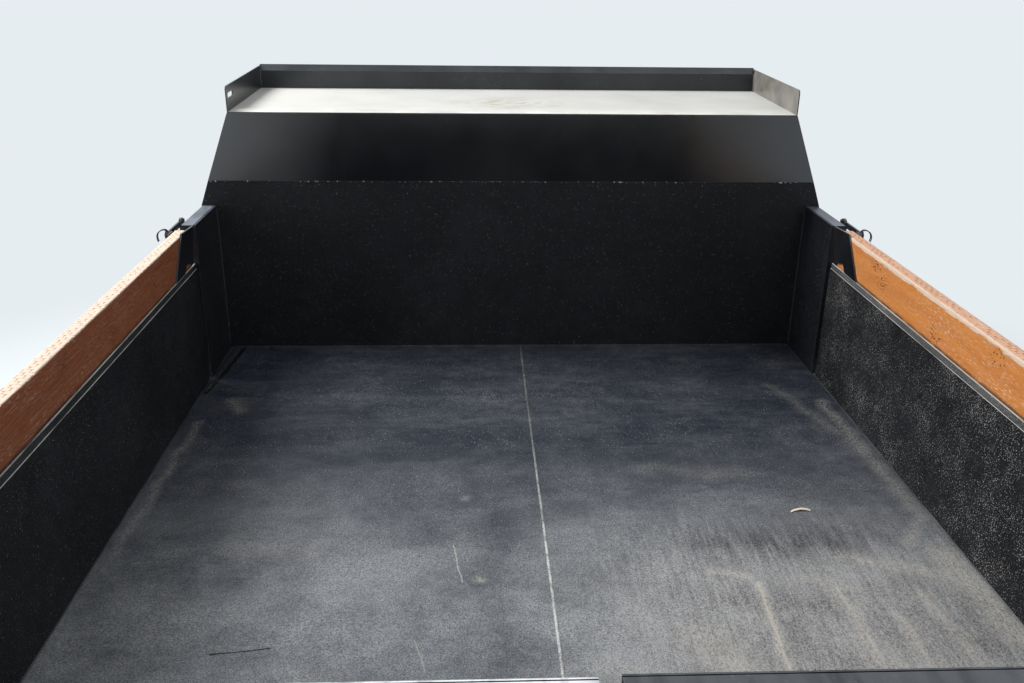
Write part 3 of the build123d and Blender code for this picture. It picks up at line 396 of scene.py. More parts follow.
@dataclass(frozen=True)
class SprayedLiner(Finish):
    """Sprayed polyurea bed liner: matt blue-black with a pebbled skin, dust in its hollows, pale spatter."""

    base: str = "#12151a"
    dust: str = "#8d9299"
    spatter: str = "#c6c4bf"
    dusty: float = 0.12
    speck: float = 0.05
    # Grains of 1 to 2 mm and skin pebbles of 2 mm; both are drawn coarser, so that they show.
    speck_size: float = 4.0
    speck_left: float = 1.0
    sheen: float = 0.22
    crisp: Spot = (1.5, 0.35)
    pebble: float = 4.0
    relief: float = 0.6
    matt: float = 0.55

    def amount(self, bench: Bench) -> Source:
        """How much dust lies where, between 0 and 1."""
        wide = bench.patches(520, 0.34, 0.68, detail=5, rough=0.68)
        small = bench.patches(46, 0.32, 0.68, detail=4, rough=0.68)
        return bench.product(wide, bench.add("Mix", small, 0.35, 1.0), self.dusty * 1.6)

    def spots(self, bench: Bench) -> Source:
        """Where pale grains stick: crisp points, which lie closest where they gather in clouds; a left share
        below 1 thins them on the left side as painted shade.
        """
        fine = bench.patches(self.speck_size, 0.0, 1.0, detail=2, rough=0.7)
        cloud = bench.patches(150, 0.30, 0.70, detail=7, rough=0.75)
        # Painted shade: the clouds of pale specks thin towards the left side, X below -200 mm, to the left
        # share of the finish.
        share = bench.add("Mix", bench.ramp(0, -200, 200), self.speck * self.speck_left, self.speck)
        level = bench.total(fine, bench.product(cloud, share))
        return bench.add("MapRange", level, 0.69, 0.74, 0.0, 0.85)

    def layer(self, bench: Bench) -> Layer:
        """Builds the liner's coat.

        Args:
            bench: Material under work.

        Returns:
            The coat.
        """
        grain = bench.patches(self.pebble, 0.36, 0.64, detail=3, rough=0.6)
        lying = self.amount(bench)
        hollow = bench.product(bench.add("Mix", grain, *self.crisp), lying)
        colour = bench.over(linear(self.base), self.dust, hollow)
        spots = self.spots(bench)
        colour = bench.over(colour, self.spatter, spots)
        roughness = bench.add("Mix", bench.add("Math", hollow, spots, operation="MAXIMUM"), self.matt, 0.9)
        lumps = bench.add("Mix", bench.patches(28, 0.0, 1.0, detail=2), 0.0, 0.5)
        height = bench.add("Math", bench.add("Mix", grain, 0.0, self.relief), lumps, operation="ADD")
        return Layer(colour, roughness, height)

    def paint(self, bench: Bench) -> None:
        """Coats the surface with liner."""
        bench.shader.inputs["Specular IOR Level"].default_value = self.sheen
        self.coat(bench, self.layer(bench))


@dataclass(frozen=True)
class FloorLiner(SprayedLiner):
    """The liner of the floor: scuffed along the body by sliding loads, palest towards the rear, partly from
    dust and partly from painted sunlight.
    """

    # Blue-black base: a dark liner, whose blue tint is painted shade, the skylit shade over the front of the
    # floor.
    base: str = "#111929"
    dust: str = "#a4a7aa"
    dusty: float = 0.12
    speck: float = 0.07
    sheen: float = 0.30
    pebble: float = 3.2
    crisp: Spot = (1.5, 0.45)
    scraped: str = "#cdc7bc"
    sand: str = "#c2bcb2"
    gap: str = "#050607"
    scratches: tuple[Mark, ...] = (
        Mark((-206, -401), (-183, -555), 2.4, 0.9), Mark((-282, -760), (-256, -860), 2.4, 0.6),
        Mark((520, -575), (500, -920), 9.0, 1.0), Mark((702, -600), (709, -860), 7.0, 0.8),
    )
    cracks: tuple[Mark, ...] = (
        Mark((-1012, 934), (-1024, 790), 10.0, 1.0), Mark((-1024, 790), (-1036, 660), 10.0, 1.0),
        Mark((-1036, 660), (-1054, 520), 9.0, 0.9), Mark((-914, 934), (-912, 905), 7.0, 0.9),
        Mark((-912, 905), (-866, 899), 5.0, 0.8), Mark((-710, -796), (-589, -778), 2.8, 0.7),
    )

    def worn(self, bench: Bench, channel: int) -> Source:
        """One channel of the sheet's own colours: 0 where it is scraped pale, with painted highlights on
        three dents, 1 where its dust is thinned to darker marks.
        """
        held = bench.add("Attribute", attribute_name="wear")
        return bench.add("SeparateColor", held.outputs["Color"]).outputs[channel]

    def amount(self, bench: Bench) -> Source:
        """More dust and drag marks towards the rear, most of all on the right, which is partly painted
        sunlight on the rear of the floor.
        """
        plain = super().amount(bench)
        # Painted sunlight as much as dust: the rear of the floor, from Y 260 mm back, and the drag marks at
        # its rear right are laid paler.
        rear = bench.product(bench.ramp(1, 260, -760), bench.patches(300, 0.20, 0.62, detail=6, rough=0.72))
        right = bench.product(bench.ramp(0, -60, 420), bench.ramp(1, -120, -620))
        drag = bench.patches(10, 0.38, 0.64, stretch=(1, 12, 1), detail=3, rough=0.6)
        smear = bench.patches(70, 0.48, 0.74, stretch=(4, 1, 1), detail=5, rough=0.7)
        total = bench.total(plain, bench.product(rear, 0.60))
        total = bench.total(total, bench.product(drag, right, 0.34))
        total = bench.total(total, bench.product(smear, 0.10))
        shade = bench.product(self.worn(bench, 1), bench.add("Mix", drag, 1.0, 0.5))
        return bench.product(total, bench.add("Math", 1.0, shade, operation="SUBTRACT"))

    def layer(self, bench: Bench) -> Layer:
        """Adds what loads have scraped pale, with painted highlights on three dents, and the open cracks
        where the coat has let go of the sheet.
        """
        coat = super().layer(bench)
        # Painted sunlight as much as sand: a sand colour laid at the rear right of the floor.
        sand = bench.product(bench.ramp(0, -100, 500), bench.ramp(1, -200, -700),
                             bench.patches(4.4, 0.42, 0.66, stretch=(1, 1.6, 1), detail=3, rough=0.75))
        ground = bench.over(coat.colour, self.sand, sand, 0.6)
        broken = bench.patches(5, 0.42, 0.56, stretch=(1, 2, 1), detail=3, rough=0.75)
        scraped = bench.product(self.worn(bench, 0), bench.add("Mix", broken, 0.10, 1.0))
        lines = bench.product(bench.strokes(bench.wobbled(70, 4), self.scratches),
                              bench.add("Mix", broken, 0.55, 1.0))
        scraped = bench.add("Math", scraped, lines, operation="MAXIMUM")
        colour = bench.over(ground, self.scraped, scraped, 0.9)
        torn = bench.product(bench.strokes(bench.wobbled(30, 3), self.cracks), 2.6)
        return Layer(bench.over(colour, self.gap, torn), coat.roughness, coat.height)


@dataclass(frozen=True)
class SeamLiner(SprayedLiner):
    """The coat over the floor's seam: it stands proud, and towards the rear it is laid pale as painted
    sunlight.
    """

    # Share of the painted sunlight laid on the seam's rear part.
    rubbed: float = 0.8

    def amount(self, bench: Bench) -> Source:
        """Adds painted sunlight towards the rear, laid as pale dust."""
        rear = bench.product(bench.ramp(1, 420, -620), bench.patches(40, 0.2, 0.55, detail=5))
        return bench.total(super().amount(bench), bench.product(rear, self.rubbed))


class Inner(Enum):
    """Which face of a panel wears the liner: axis, sign and the coordinate that bounds it, in millimetres."""

    GATE = (0, 1, 1068.2)
    HEADBOARD = (1, 1, 937.4)
    LEAF = (1, -1, 1502.0)


@dataclass(frozen=True)
class LinedSteel(Finish):
    """Enamelled steel whose face to the load is sprayed with liner."""

    inner: Inner = Inner.GATE
    enamel: Enamel = field(default_factory=lambda: Enamel("plain_enamel"))
    liner: SprayedLiner = field(default_factory=lambda: SprayedLiner("plain_liner"))
    rim: str = "#d2d2ce"
    # Pale rim on upward faces: dust; a small right share, as on the tailgate leaves, makes it painted
    # sunlight and sky reflection on the left as well.
    rim_most: float = 0.0
    rim_right: float = 1.0
    steel_sheen: float = 0.5
    # Share of painted sunlight, laid as pale dust, on the inner face of the top rail's lip.
    lip: float = 0.0
    lip_x: Spot = (1070.2, 1077.0)
    lip_z: Spot = (716.0, 726.0)

    def paint(self, bench: Bench) -> None:
        """Coats the face to the load with liner and the rest with enamel, with pale rims on its upward faces,
        dust that on the tailgate leaves is also painted sunlight and sky reflection, and painted sunlight on
        the lip's inner face.
        """
        axis, sign, limit = self.inner.value
        parts = bench.add("SeparateXYZ", bench.place)
        value = parts.outputs[axis]
        if self.inner is Inner.GATE:
            value = bench.add("Math", value, operation="ABSOLUTE")
        else:
            value = bench.product(value, float(sign))
        lined = bench.add("Math", value, limit * MM, operation="LESS_THAN")
        if self.lip:
            low, high = (v * MM for v in self.lip_x)
            band = bench.add("Math", value, (low + high) / 2, (high - low) / 2, operation="COMPARE")
            band = bench.product(band, bench.ramp(2, *self.lip_z))
            lined = bench.add("Math", lined, band, operation="MAXIMUM")
        steel, soft = self.enamel.layer(bench), self.liner.layer(bench)
        colour = bench.add("Mix", lined, steel.colour, soft.colour, data_type="RGBA")
        # Pale rims on faces that look up, strongest above 700 mm: dust. Where the right side gets only a
        # small share, as on the tailgate leaves, they are also painted sunlight and sky reflection on the
        # left.
        rim = bench.product(bench.upward(0.4, 0.9),
                            bench.patches(34, 0.24, 0.52, stretch=(1, 5, 1), detail=6))
        most = bench.add("Mix", bench.ramp(0, -40, 40), self.rim_most, self.rim_most * self.rim_right)
        most = bench.product(most, bench.add("Mix", bench.ramp(2, 640, 700), 0.2, 1.0))
        colour = bench.over(colour, self.rim, rim, most)
        # Painted sunlight on the inner face of the top rail's lip: laid in the rim colour, as pale dust, at
        # full share on the right side and a fifth of it on the left.
        if self.lip:
            band = bench.product(band, bench.patches(60, 0.15, 0.6, stretch=(1, 5, 1), detail=6))
            share = bench.add("Mix", bench.ramp(0, -40, 40), self.lip * 0.2, self.lip)
            colour = bench.over(colour, self.rim, band, share)
        sheen = bench.add("Mix", lined, self.steel_sheen, self.liner.sheen)
        feed(bench.shader.inputs["Specular IOR Level"], sheen)
        self.coat(bench, Layer(colour, bench.add("Mix", lined, steel.roughness, soft.roughness),
                               bench.add("Mix", lined, steel.height, soft.height)))


@dataclass(frozen=True)
class DustyTray(Enamel):
    """The enamel of the cab shield: its tray holds a layer of pale road dust, swept into rings by rain."""

    # Warm pale colour of the painted sunlight on the right side lip.
    lip_dust: str = "#a8a29a"
    ring: str = "#b3aa92"
    heap: str = "#cfcec9"
    bright: str = "#efede7"
    heap_low: float = 1150.0
    heap_high: float = 1200.0
    ring_x: float = 10.0
    ring_y: float = 1180.0

    def paint(self, bench: Bench) -> None:
        """Lays the dust on the tray's upper side, and painted sunlight on the inner face of the right side
        lip.
        """
        coat = self.layer(bench)
        flat = bench.upward(0.90, 0.99)
        low = bench.add("Math", 1.0, bench.ramp(2, self.heap_high, self.heap_high + 12), operation="SUBTRACT")
        cover = bench.product(flat, low, bench.ramp(2, self.heap_low, self.heap_low + 20))
        cloud = bench.patches(180, 0.15, 0.62, detail=7)
        moved = bench.add("Mapping", named={"Vector": bench.wobbled(160, 26), "Scale": (1.0, 1.3, 0.0),
                                            "Location": (-self.ring_x * MM, -self.ring_y * 1.3 * MM, 0.0)})
        rings = bench.add("TexWave", moved, 5.0, 7.0, 4.0, 2.6, wave_type="RINGS",
                          rings_direction="SPHERICAL")
        length = bench.add("VectorMath", moved, operation="LENGTH")
        near = bench.add("MapRange", length, 240 * MM, 80 * MM)
        broken = bench.product(near, bench.patches(55, 0.36, 0.62, detail=5))
        swept = bench.product(rings.outputs[1], broken, 0.5)
        amount = bench.product(cover, bench.add("Mix", cloud, 0.82, 1.0))
        strip = bench.product(bench.ramp(1, self.ring_y - 90, self.ring_y - 230),
                              bench.patches(150, 0.35, 0.6))
        heap = bench.over(linear(self.heap), self.bright, strip, 0.75)
        colour = bench.add("Mix", amount, coat.colour, bench.over(heap, self.ring, swept, 1.6),
                           data_type="RGBA")
        # Painted sunlight: the inner face of the right side lip, facing -X beyond X 900 mm, is laid paler in
        # a warm dust colour; the left lip stays dark.
        parts = bench.add("SeparateXYZ", bench.facing)
        inward = bench.add("MapRange", parts, -0.6, -0.9)
        lip = bench.product(inward, bench.product(bench.ramp(0, 900, 980),
                                                  bench.patches(110, 0.1, 0.6, detail=6)))
        colour = bench.over(colour, self.lip_dust, lip, 0.62)
        self.coat(bench, Layer(colour, bench.add("Mix", amount, coat.roughness, 0.9), coat.height))


@dataclass(frozen=True)
class TreatedLumber(Finish):
    """Pressure-treated softwood, stained orange-brown: its incisions and raised fibres wear pale first."""

    early: str = "#e08f3e"
    late: str = "#c67430"
    # Red-brown laid over the left board: painted shade.
    shaded: str = "#6a2a1b"
    knot: str = "#451f10"
    stained: str = "#8f4a22"
    soil: str = "#2a1a12"
    bleached: str = "#ecd9c6"
    upper: str = "#d6a98c"
    # Growth rings lie 5 to 15 mm apart. Fibres of 0.5 mm are drawn coarser, so that they show.
    ring: float = 14.0
    fibre: float = 1.6
    top: float = 862.1
    foot: float = 744.0
    worn_band: float = 14.0
    knots: tuple[Spot, ...] = ((296.0, 836.0), (236.0, 800.0), (-425.0, 826.0), (-980.0, 790.0),
                               (-120.0, 770.0))

    def paint(self, bench: Bench) -> None:
        """Builds rings, fibre, knots, worn flecks and the bleached upper edge, with painted shade on the left
        board's faces and a painted highlight on its top.
        """
        bent = bench.add("TexNoise", bench.place, 1.8, 2.0)
        sway = bench.add("VectorMath", bent.outputs["Color"], (0.03, 0.0, 0.05), operation="MULTIPLY")
        course = bench.add("VectorMath", bench.place, sway, operation="ADD")
        drawn = bench.add("Mapping", named={"Vector": course, "Scale": (1.0, 0.04, 1.0)})
        rings = bench.add("TexWave", drawn, 1000 / self.ring / 6.3, 4.0, 2.0, 1.5, wave_type="BANDS",
                          bands_direction="DIAGONAL")
        fibre = bench.patches(self.fibre, 0.3, 0.7, stretch=(1, 24, 1), detail=3)
        grain = bench.total(bench.product(rings.outputs[1], 0.40), bench.product(fibre, 0.34))
        colour = bench.over(linear(self.early), self.late, grain)
        stain = bench.patches(240, 0.42, 0.75, stretch=(1, 2.5, 1), detail=6)
        colour = bench.over(colour, self.stained, stain, 0.20)
        # Painted shade: the faces of the left board are laid over in a darker red-brown.
        left = bench.ramp(0, 100, -100)
        colour = bench.over(colour, self.shaded, left, 0.78)
        # Painted highlight: the top of the left board is laid near white, while the right board's top stays
        # pinkish tan.
        upper = bench.upward(0.55, 0.92)
        pale = bench.over(linear(self.upper), self.bleached, left)
        colour = bench.add("Mix", bench.product(upper, 0.85), colour, pale, data_type="RGBA")
        lines = bench.patches(1.8, 0.52, 0.66, stretch=(1, 60, 1), detail=2)
        colour = bench.over(colour, self.bleached, lines, 0.16)
        flecks = bench.product(bench.patches(2.6, 0.58, 0.66, stretch=(1, 7, 1), detail=2),
                               bench.patches(60, 0.38, 0.60, stretch=(1, 3, 1), detail=5))
        rearward = bench.add("Mix", bench.ramp(1, 500, -500), 0.35, 0.9)
        # Painted shade: fewer pale flecks on the left board.
        flecks = bench.product(flecks, bench.add("Mix", left, 1.0, 0.4))
        colour = bench.over(colour, self.bleached, flecks, rearward)
        pits = None
        for y, z in self.knots:
            moved = bench.add("Mapping", named={"Vector": bench.wobbled(16, 4),
                                                "Location": (0.0, -y * MM * 0.6, -z * MM),
                                                "Scale": (0.0, 0.6, 1.0)})
            away = bench.add("VectorMath", moved, operation="LENGTH")
            spot = bench.add("MapRange", away, 30 * MM, 12 * MM)
            pits = spot if pits is None else bench.add("Math", pits, spot, operation="MAXIMUM")
        pits = bench.product(pits, bench.patches(5, 0.56, 0.62, stretch=(1, 2, 1), detail=3))
        colour = bench.over(colour, self.knot, pits)
        reach = bench.patches(26, 0.25, 0.75, stretch=(1, 7, 1), detail=5, rough=0.8)
        reach = bench.add("Mix", reach, 0.2, 1.9)
        reach = bench.product(reach, bench.add("Mix", bench.ramp(0, -100, 100), 0.25, 1.0))
        level = bench.add("SeparateXYZ", bench.place).outputs[2]
        below = bench.add("Math", self.top * MM, level, operation="SUBTRACT")
        edge = bench.product(reach, self.worn_band * MM)
        share = bench.add("Math", edge, below, operation="SUBTRACT")
        bare = bench.add("MapRange", share, 0.0, 4 * MM)
        bare = bench.product(bare, bench.add("Math", 1.0, upper, operation="SUBTRACT"))
        colour = bench.over(colour, self.bleached, bare, 0.88)
        dirt = bench.product(bench.ramp(2, self.foot + 7, self.foot - 3),
                             bench.patches(22, 0.25, 0.5, stretch=(1, 3, 1)))
        colour = bench.over(colour, self.soil, dirt, 0.8)
        height = bench.add("Math", bench.add("Mix", fibre, 0.30, 0.0),
                           bench.add("Mix", rings.outputs[1], 0.0, 0.15), operation="ADD")
        self.coat(bench, Layer(colour, bench.add("Mix", grain, 0.62, 0.78), height))


@dataclass(frozen=True)
class Metal(Finish):
    """A bare or plated metal with fine scratches."""

    base: str = "#b9b7ad"
    dull: str = "#8a8a84"
    polish: float = 0.34
    # Scratches of 0.2 mm, drawn coarser, so that they show.
    scratch: float = 3.0

    def paint(self, bench: Bench) -> None:
        """Builds the metal's colour, scratches and tarnish."""
        bench.shader.inputs["Metallic"].default_value = 1.0
        tarnish = bench.patches(24, 0.35, 0.7, detail=5)
        colour = bench.over(linear(self.base), self.dull, tarnish)
        lines = bench.patches(self.scratch, 0.3, 0.7, stretch=(1, 12, 1), detail=3)
        rough = bench.add("Mix", tarnish, self.polish, self.polish + 0.18)
        self.coat(bench, Layer(colour, rough, bench.add("Mix", lines, 0.0, 0.02)))


@dataclass(frozen=True)
class Moulded(Finish):
    """A moulded rubber or plastic, plain or clear-coated."""

    base: str = "#1a1b1c"
    second: str = "#2c2d2e"
    matt: float = 0.7
    clear: float = 0.0
    # Mould grit of 0.5 mm, drawn coarser, so that it shows.
    grit: float = 4.0

    def paint(self, bench: Bench) -> None:
        """Builds a slightly uneven moulded skin."""
        bench.shader.inputs["Coat Weight"].default_value = self.clear
        bench.shader.inputs["Coat Roughness"].default_value = 0.08
        uneven = bench.patches(60, 0.35, 0.7, detail=5)
        colour = bench.over(linear(self.base), self.second, uneven)
        height = bench.add("Mix", bench.patches(self.grit, 0.2, 0.8, detail=2), 0.0, 0.06)
        self.coat(bench, Layer(colour, bench.add("Mix", uneven, self.matt, self.matt + 0.1), height))


class Finishes:
    """All finishes of the body, each made once."""

    enamel = Enamel("black_chassis_enamel")
    # The headboard's upper panel: ends=0.16 lays painted reflection at its two ends as dust.
    gloss = Enamel("black_enamel_headboard", base="#0d0f12", faded="#16181c", gloss=0.17, dust_most=0.3,
                   film=0.03, specks=0.02, ends=0.16)
    liner = SprayedLiner("sprayed_polyurea_liner")
    floor = FloorLiner("sprayed_polyurea_floor")
    # The headboard seam's large near-white specks, more than on the other liners, are painted highlights on
    # the weld; its dark base is the dark joint.
    joint = SprayedLiner("headboard_seam", base="#0b0c0f", spatter="#d8d6d0", dusty=0.08, speck=0.13,
                         speck_size=9.0)
    # The floor seam's near-white dust is laid mostly towards the rear: painted sunlight on the seam.
    bead = SeamLiner("sprayed_seam", base="#23272e", dust="#e2e2e0", dusty=0.2, speck=0.1, pebble=3.0)
    # The sides: lip=0.16 lays painted sunlight on the inner face of the top rail's lip, mostly on the right.
    gate = LinedSteel("lined_side_steel", Inner.GATE, Enamel("gate_enamel", dust_most=0.6),
                      # Fewer pale specks on the left side's liner: painted shade.
                      SprayedLiner("gate_liner", base="#0d0f13", speck=0.15, speck_left=0.35, dusty=0.05,
                                   speck_size=3.5), rim_most=1.0, lip=0.16)
    post = LinedSteel("lined_post_steel", Inner.GATE, Enamel("post_enamel", dust="#8b93a3", dust_most=0.8),
                      SprayedLiner("post_liner", base="#0f1217", speck=0.03, dusty=0.06))
    # The headboard's liner is darker than the plain liner, with less dust and no specks: partly the less dust
    # that a standing face holds, partly painted shade over the whole headboard.
    headboard = LinedSteel("lined_headboard_steel", Inner.HEADBOARD, Enamel("head_enamel"),
                           SprayedLiner("head_liner", base="#0a0c11", dusty=0.03, speck=0.0))
    # The leaves' near-white, blue-tinted rim, laid on the left leaf's top far more than on the right's, and
    # the blue tint of their dust: dust, with painted sunlight and sky reflection.
    leaf = LinedSteel("lined_tailgate_steel", Inner.LEAF,
                      Enamel("leaf_enamel", dust="#8f95a1", dust_most=0.1, film=0.06),
                      SprayedLiner("leaf_liner"), rim="#eef1f5", rim_most=1.0, rim_right=0.06,
                      steel_sheen=0.34)
    tray = DustyTray("dusty_shield_enamel")
    lumber = TreatedLumber("stained_treated_lumber")
    slit = TreatedLumber("incision_in_lumber", early="#a05a26", late="#8a4a20", bleached="#b08a6a",
                         upper="#8d6248")
    splinter = TreatedLumber("split_softwood", early="#e8dac8", late="#cfb79c", upper="#e9dccb", foot=0.0)
    zinc = Metal("zinc_plated_steel")
    chrome = Metal("hard_chromed_rod", base="#c9ccd0", dull="#b3b6ba", polish=0.14)
    rubber = Moulded("black_rubber")
    lens = Moulded("red_polycarbonate_lens", base="#9c1414", second="#7d0f0f", matt=0.2, clear=1.0, grit=9.0)


@dataclass
class Piece:
    """A mesh under the hand: it is started from a primitive, shaped in edit mode and put on a body."""

    obj: bpy.types.Object

    @classmethod
    def adopt(cls, name: str) -> Piece:
        """Takes the primitive that was just added, with its place written into its mesh."""
        obj = bpy.context.object
        obj.name = obj.data.name = name
        bpy.ops.object.transform_apply(location=True, rotation=True, scale=True)
        return cls(obj)

    @staticmethod
    def clear() -> None:
        """Leaves edit mode and selects nothing."""
        if bpy.context.object is not None and bpy.context.object.mode != "OBJECT":
            bpy.ops.object.mode_set(mode="OBJECT")
        bpy.ops.object.select_all(action="DESELECT")

    @classmethod
    def block(cls, name: str, low: Iterable[float], high: Iterable[float]) -> Piece:
        """Starts from a box between two corners.

        Args:
            name: Name of the piece.
            low: Lowest corner in millimetres.
            high: Highest corner in millimetres.

        Returns:
            The piece.
        """
        cls.clear()
        a, b = Vector(low) * MM, Vector(high) * MM
        bpy.ops.mesh.primitive_cube_add(size=1.0, location=(a + b) / 2, scale=b - a)
        return cls.adopt(name)

    @classmethod
    def bar(cls, name: str, start: Iterable[float], end: Iterable[float], radius: float,
            sides: int = 24) -> Piece:
        """Starts from a round or many-sided bar between two points.

        Args:
            name: Name of the piece.
            start: Middle of one end in millimetres.
            end: Middle of the other end in millimetres.
            radius: Radius in millimetres.
            sides: Number of sides.

        Returns:
            The piece.
        """
        cls.clear()
        a, b = Vector(start) * MM, Vector(end) * MM
        turn = (b - a).to_track_quat("Z", "Y").to_euler()
        bpy.ops.mesh.primitive_cylinder_add(vertices=sides, radius=radius * MM, depth=(b - a).length,
                                            location=(a + b) / 2, rotation=turn)
        return cls.adopt(name)

    @classmethod
    def grid(cls, name: str, low: Iterable[float], high: Iterable[float], columns: int, rows: int) -> Piece:
        """Starts from a flat grid that spans two corners of equal Z."""
        cls.clear()
        a, b = Vector(low) * MM, Vector(high) * MM
        bpy.ops.mesh.primitive_grid_add(x_subdivisions=columns, y_subdivisions=rows, size=1.0,
                                        location=(a + b) / 2)
        bpy.context.object.scale = (b.x - a.x, b.y - a.y, 1.0)
        return cls.adopt(name)

    @classmethod
    def plate(cls, name: str, outline: Iterable[Spot], start: float, end: float) -> Piece:
        """Cuts a plate that stands across X.

        Args:
            name: Name of the piece.
            outline: Y and Z of each corner in millimetres.
            start: X of one face in millimetres.
            end: X of the other face in millimetres.

        Returns:
            The plate.
        """
        cls.clear()
        corners = list(outline)
        bpy.ops.mesh.primitive_circle_add(vertices=len(corners), radius=1.0, fill_type="NGON")
        cut = cls.adopt(name)
        for point, (y, z) in zip(cut.obj.data.vertices, corners):
            point.co = Vector((start, y, z)) * MM
        cut.pick_all()
        cls.extrude(end - start, 0, 0)
        return cut.outward().bevelled(0.7, 2).smooth(35)

    @classmethod
    def turned(cls, name: str, profile: Iterable[Spot], origin: Iterable[float], axis: Iterable[float],
               steps: int = 40) -> Piece:
        """Turns a closed profile about an axis, as on a lathe.

        Args:
            name: Name of the piece.
            profile: Radius and distance along the axis of each corner, in millimetres.
            origin: Point on the axis from which the distances count, in millimetres.
            axis: Direction of the axis.
            steps: Faces round the axis.

        Returns:
            The piece.
        """
        cls.clear()
        corners = list(profile)
        along = Vector(axis).normalized()
        out = along.orthogonal().normalized()
        start = Vector(origin) * MM
        bpy.ops.mesh.primitive_circle_add(vertices=len(corners), radius=1.0, fill_type="NOTHING")
        ring = cls.adopt(name)
        for point, (radius, distance) in zip(ring.obj.data.vertices, corners):
            point.co = start + (out * radius + along * distance) * MM
        ring.pick_all()
        bpy.ops.mesh.spin(steps=steps, angle=math.tau, center=start, axis=along)
        bpy.ops.mesh.select_all(action="SELECT")
        bpy.ops.mesh.remove_doubles(threshold=1e-5)
        bpy.ops.mesh.normals_make_consistent(inside=False)
        ring.clear()
        return ring.smooth(35)

    @classmethod
    def formed(cls, name: str, course: Iterable[Iterable[float]], across: Iterable[float], thick: float,
               rounding: float = 0.5) -> Piece:
        """Bends a strip of plate along a course of points.

        Args:
            name: Name of the piece.
            course: Points of the strip's middle line, in millimetres.
            across: Vector over the whole width of the strip, in millimetres.
            thick: Thickness of the plate in millimetres.
            rounding: Rounding of its edges in millimetres.

        Returns:
            The piece.
        """
        cls.clear()
        points = [Vector(p) * MM for p in course]
        width = Vector(across) * MM
        bpy.ops.mesh.primitive_grid_add(x_subdivisions=len(points) - 1, y_subdivisions=1, size=1.0)
        strip = cls.adopt(name)
        for point in strip.obj.data.vertices:
            index = round((point.co.x + 0.5) * (len(points) - 1))
            point.co = points[index] + width * (0.5 if point.co.y > 0 else -0.5)
        strip.select()
        plate = strip.obj.modifiers.new("plate", "SOLIDIFY")
        plate.thickness = thick * MM
        plate.offset = 0.0
        plate.use_even_offset = True
        bpy.ops.object.modifier_apply(modifier=plate.name)
        strip.outward().bevelled(rounding, 2, 40)
        return strip.smooth(35)

    @classmethod
    def wire(cls, name: str, course: Iterable[Iterable[float]], radius: float, sides: int = 3) -> Piece:
        """Bends a round wire along a smooth line.

        Args:
            name: Name of the piece.
            course: Control points of the line, in millimetres.
            radius: Radius of the wire in millimetres.
            sides: Roundness of the wire.

        Returns:
            The piece.
        """
        cls.clear()
        points = [Vector(p) * MM for p in course]
        line = bpy.data.curves.new(name, "CURVE")
        line.dimensions = "3D"
        run = line.splines.new("NURBS")
        run.points.add(len(points) - 1)
        for knot, place in zip(run.points, points):
            knot.co = (*place, 1.0)
        run.order_u = 3
        run.use_endpoint_u = True
        run.resolution_u = 6
        line.bevel_depth = radius * MM
        line.bevel_resolution = sides
        line.use_fill_caps = True
        obj = bpy.data.objects.new(name, line)
        bpy.context.scene.collection.objects.link(obj)
        obj.select_set(True)
        bpy.context.view_layer.objects.active = obj
        bpy.ops.object.convert(target="MESH")
        return cls(bpy.context.object).smooth(50)

    def select(self) -> None:
        """Makes this the only selected object."""
        self.clear()
        self.obj.select_set(True)
        bpy.context.view_layer.objects.active = self.obj

    def pick(self, test: Test) -> int:
        """Enters edit mode with the faces selected for which the test holds.

        Args:
            test: Takes a face's centre in metres and its normal.

        Returns:
            How many faces are selected.
        """
        self.select()
        mesh = self.obj.data
        for group in (mesh.vertices, mesh.edges):
            group.foreach_set("select", [False] * len(group))
        chosen = [bool(test(face.center, face.normal)) for face in mesh.polygons]
        mesh.polygons.foreach_set("select", chosen)
        bpy.context.tool_settings.mesh_select_mode = (False, False, True)
        bpy.ops.object.mode_set(mode="EDIT")
        return sum(chosen)

    def pick_edges(self, test: Test) -> int:
        """Enters edit mode with the edges selected for which the test on both ends holds."""
        self.select()
        mesh = self.obj.data
        mesh.polygons.foreach_set("select", [False] * len(mesh.polygons))
        mesh.vertices.foreach_set("select", [False] * len(mesh.vertices))
        points = mesh.vertices
        chosen = [bool(test(points[e.vertices[0]].co, points[e.vertices[1]].co)) for e in mesh.edges]
        mesh.edges.foreach_set("select", chosen)
        bpy.context.tool_settings.mesh_select_mode = (False, True, False)
        bpy.ops.object.mode_set(mode="EDIT")
        return sum(chosen)

    def pick_all(self) -> None:
        """Enters edit mode with everything selected."""
        self.select()
        bpy.context.tool_settings.mesh_select_mode = (False, False, True)
        bpy.ops.object.mode_set(mode="EDIT")
        bpy.ops.mesh.select_all(action="SELECT")

    def bevelled(self, width: float, segments: int = 2, angle: float = 30.0) -> Piece:
        """Rounds the sharp edges with a modifier that is applied at once.

        Args:
            width: Width of the rounding in millimetres.
            segments: Faces across it.
            angle: Least angle of an edge that is rounded, in degrees.

        Returns:
            This piece.
        """
        self.select()
        rounding = self.obj.modifiers.new("rounding", "BEVEL")
        rounding.width = width * MM
        rounding.segments = segments
        rounding.limit_method = "ANGLE"
        rounding.angle_limit = math.radians(angle)
        bpy.ops.object.modifier_apply(modifier=rounding.name)
        return self

    def copied(self, name: str, matrix: Matrix) -> Piece:
        """Makes a copy with its own mesh, moved by a matrix in metres."""
        twin = self.obj.copy()
        twin.data = self.obj.data.copy()
        twin.name = twin.data.name = name
        twin.data.transform(matrix)
        if matrix.determinant() < 0:
            twin.data.flip_normals()
        bpy.context.scene.collection.objects.link(twin)
        return Piece(twin)

    @staticmethod
    def extrude(*way: float) -> None:
        """Pulls what is selected out of the mesh, by a vector in millimetres."""
        bpy.ops.mesh.extrude_region_move(TRANSFORM_OT_translate={"value": tuple(v * MM for v in way)})

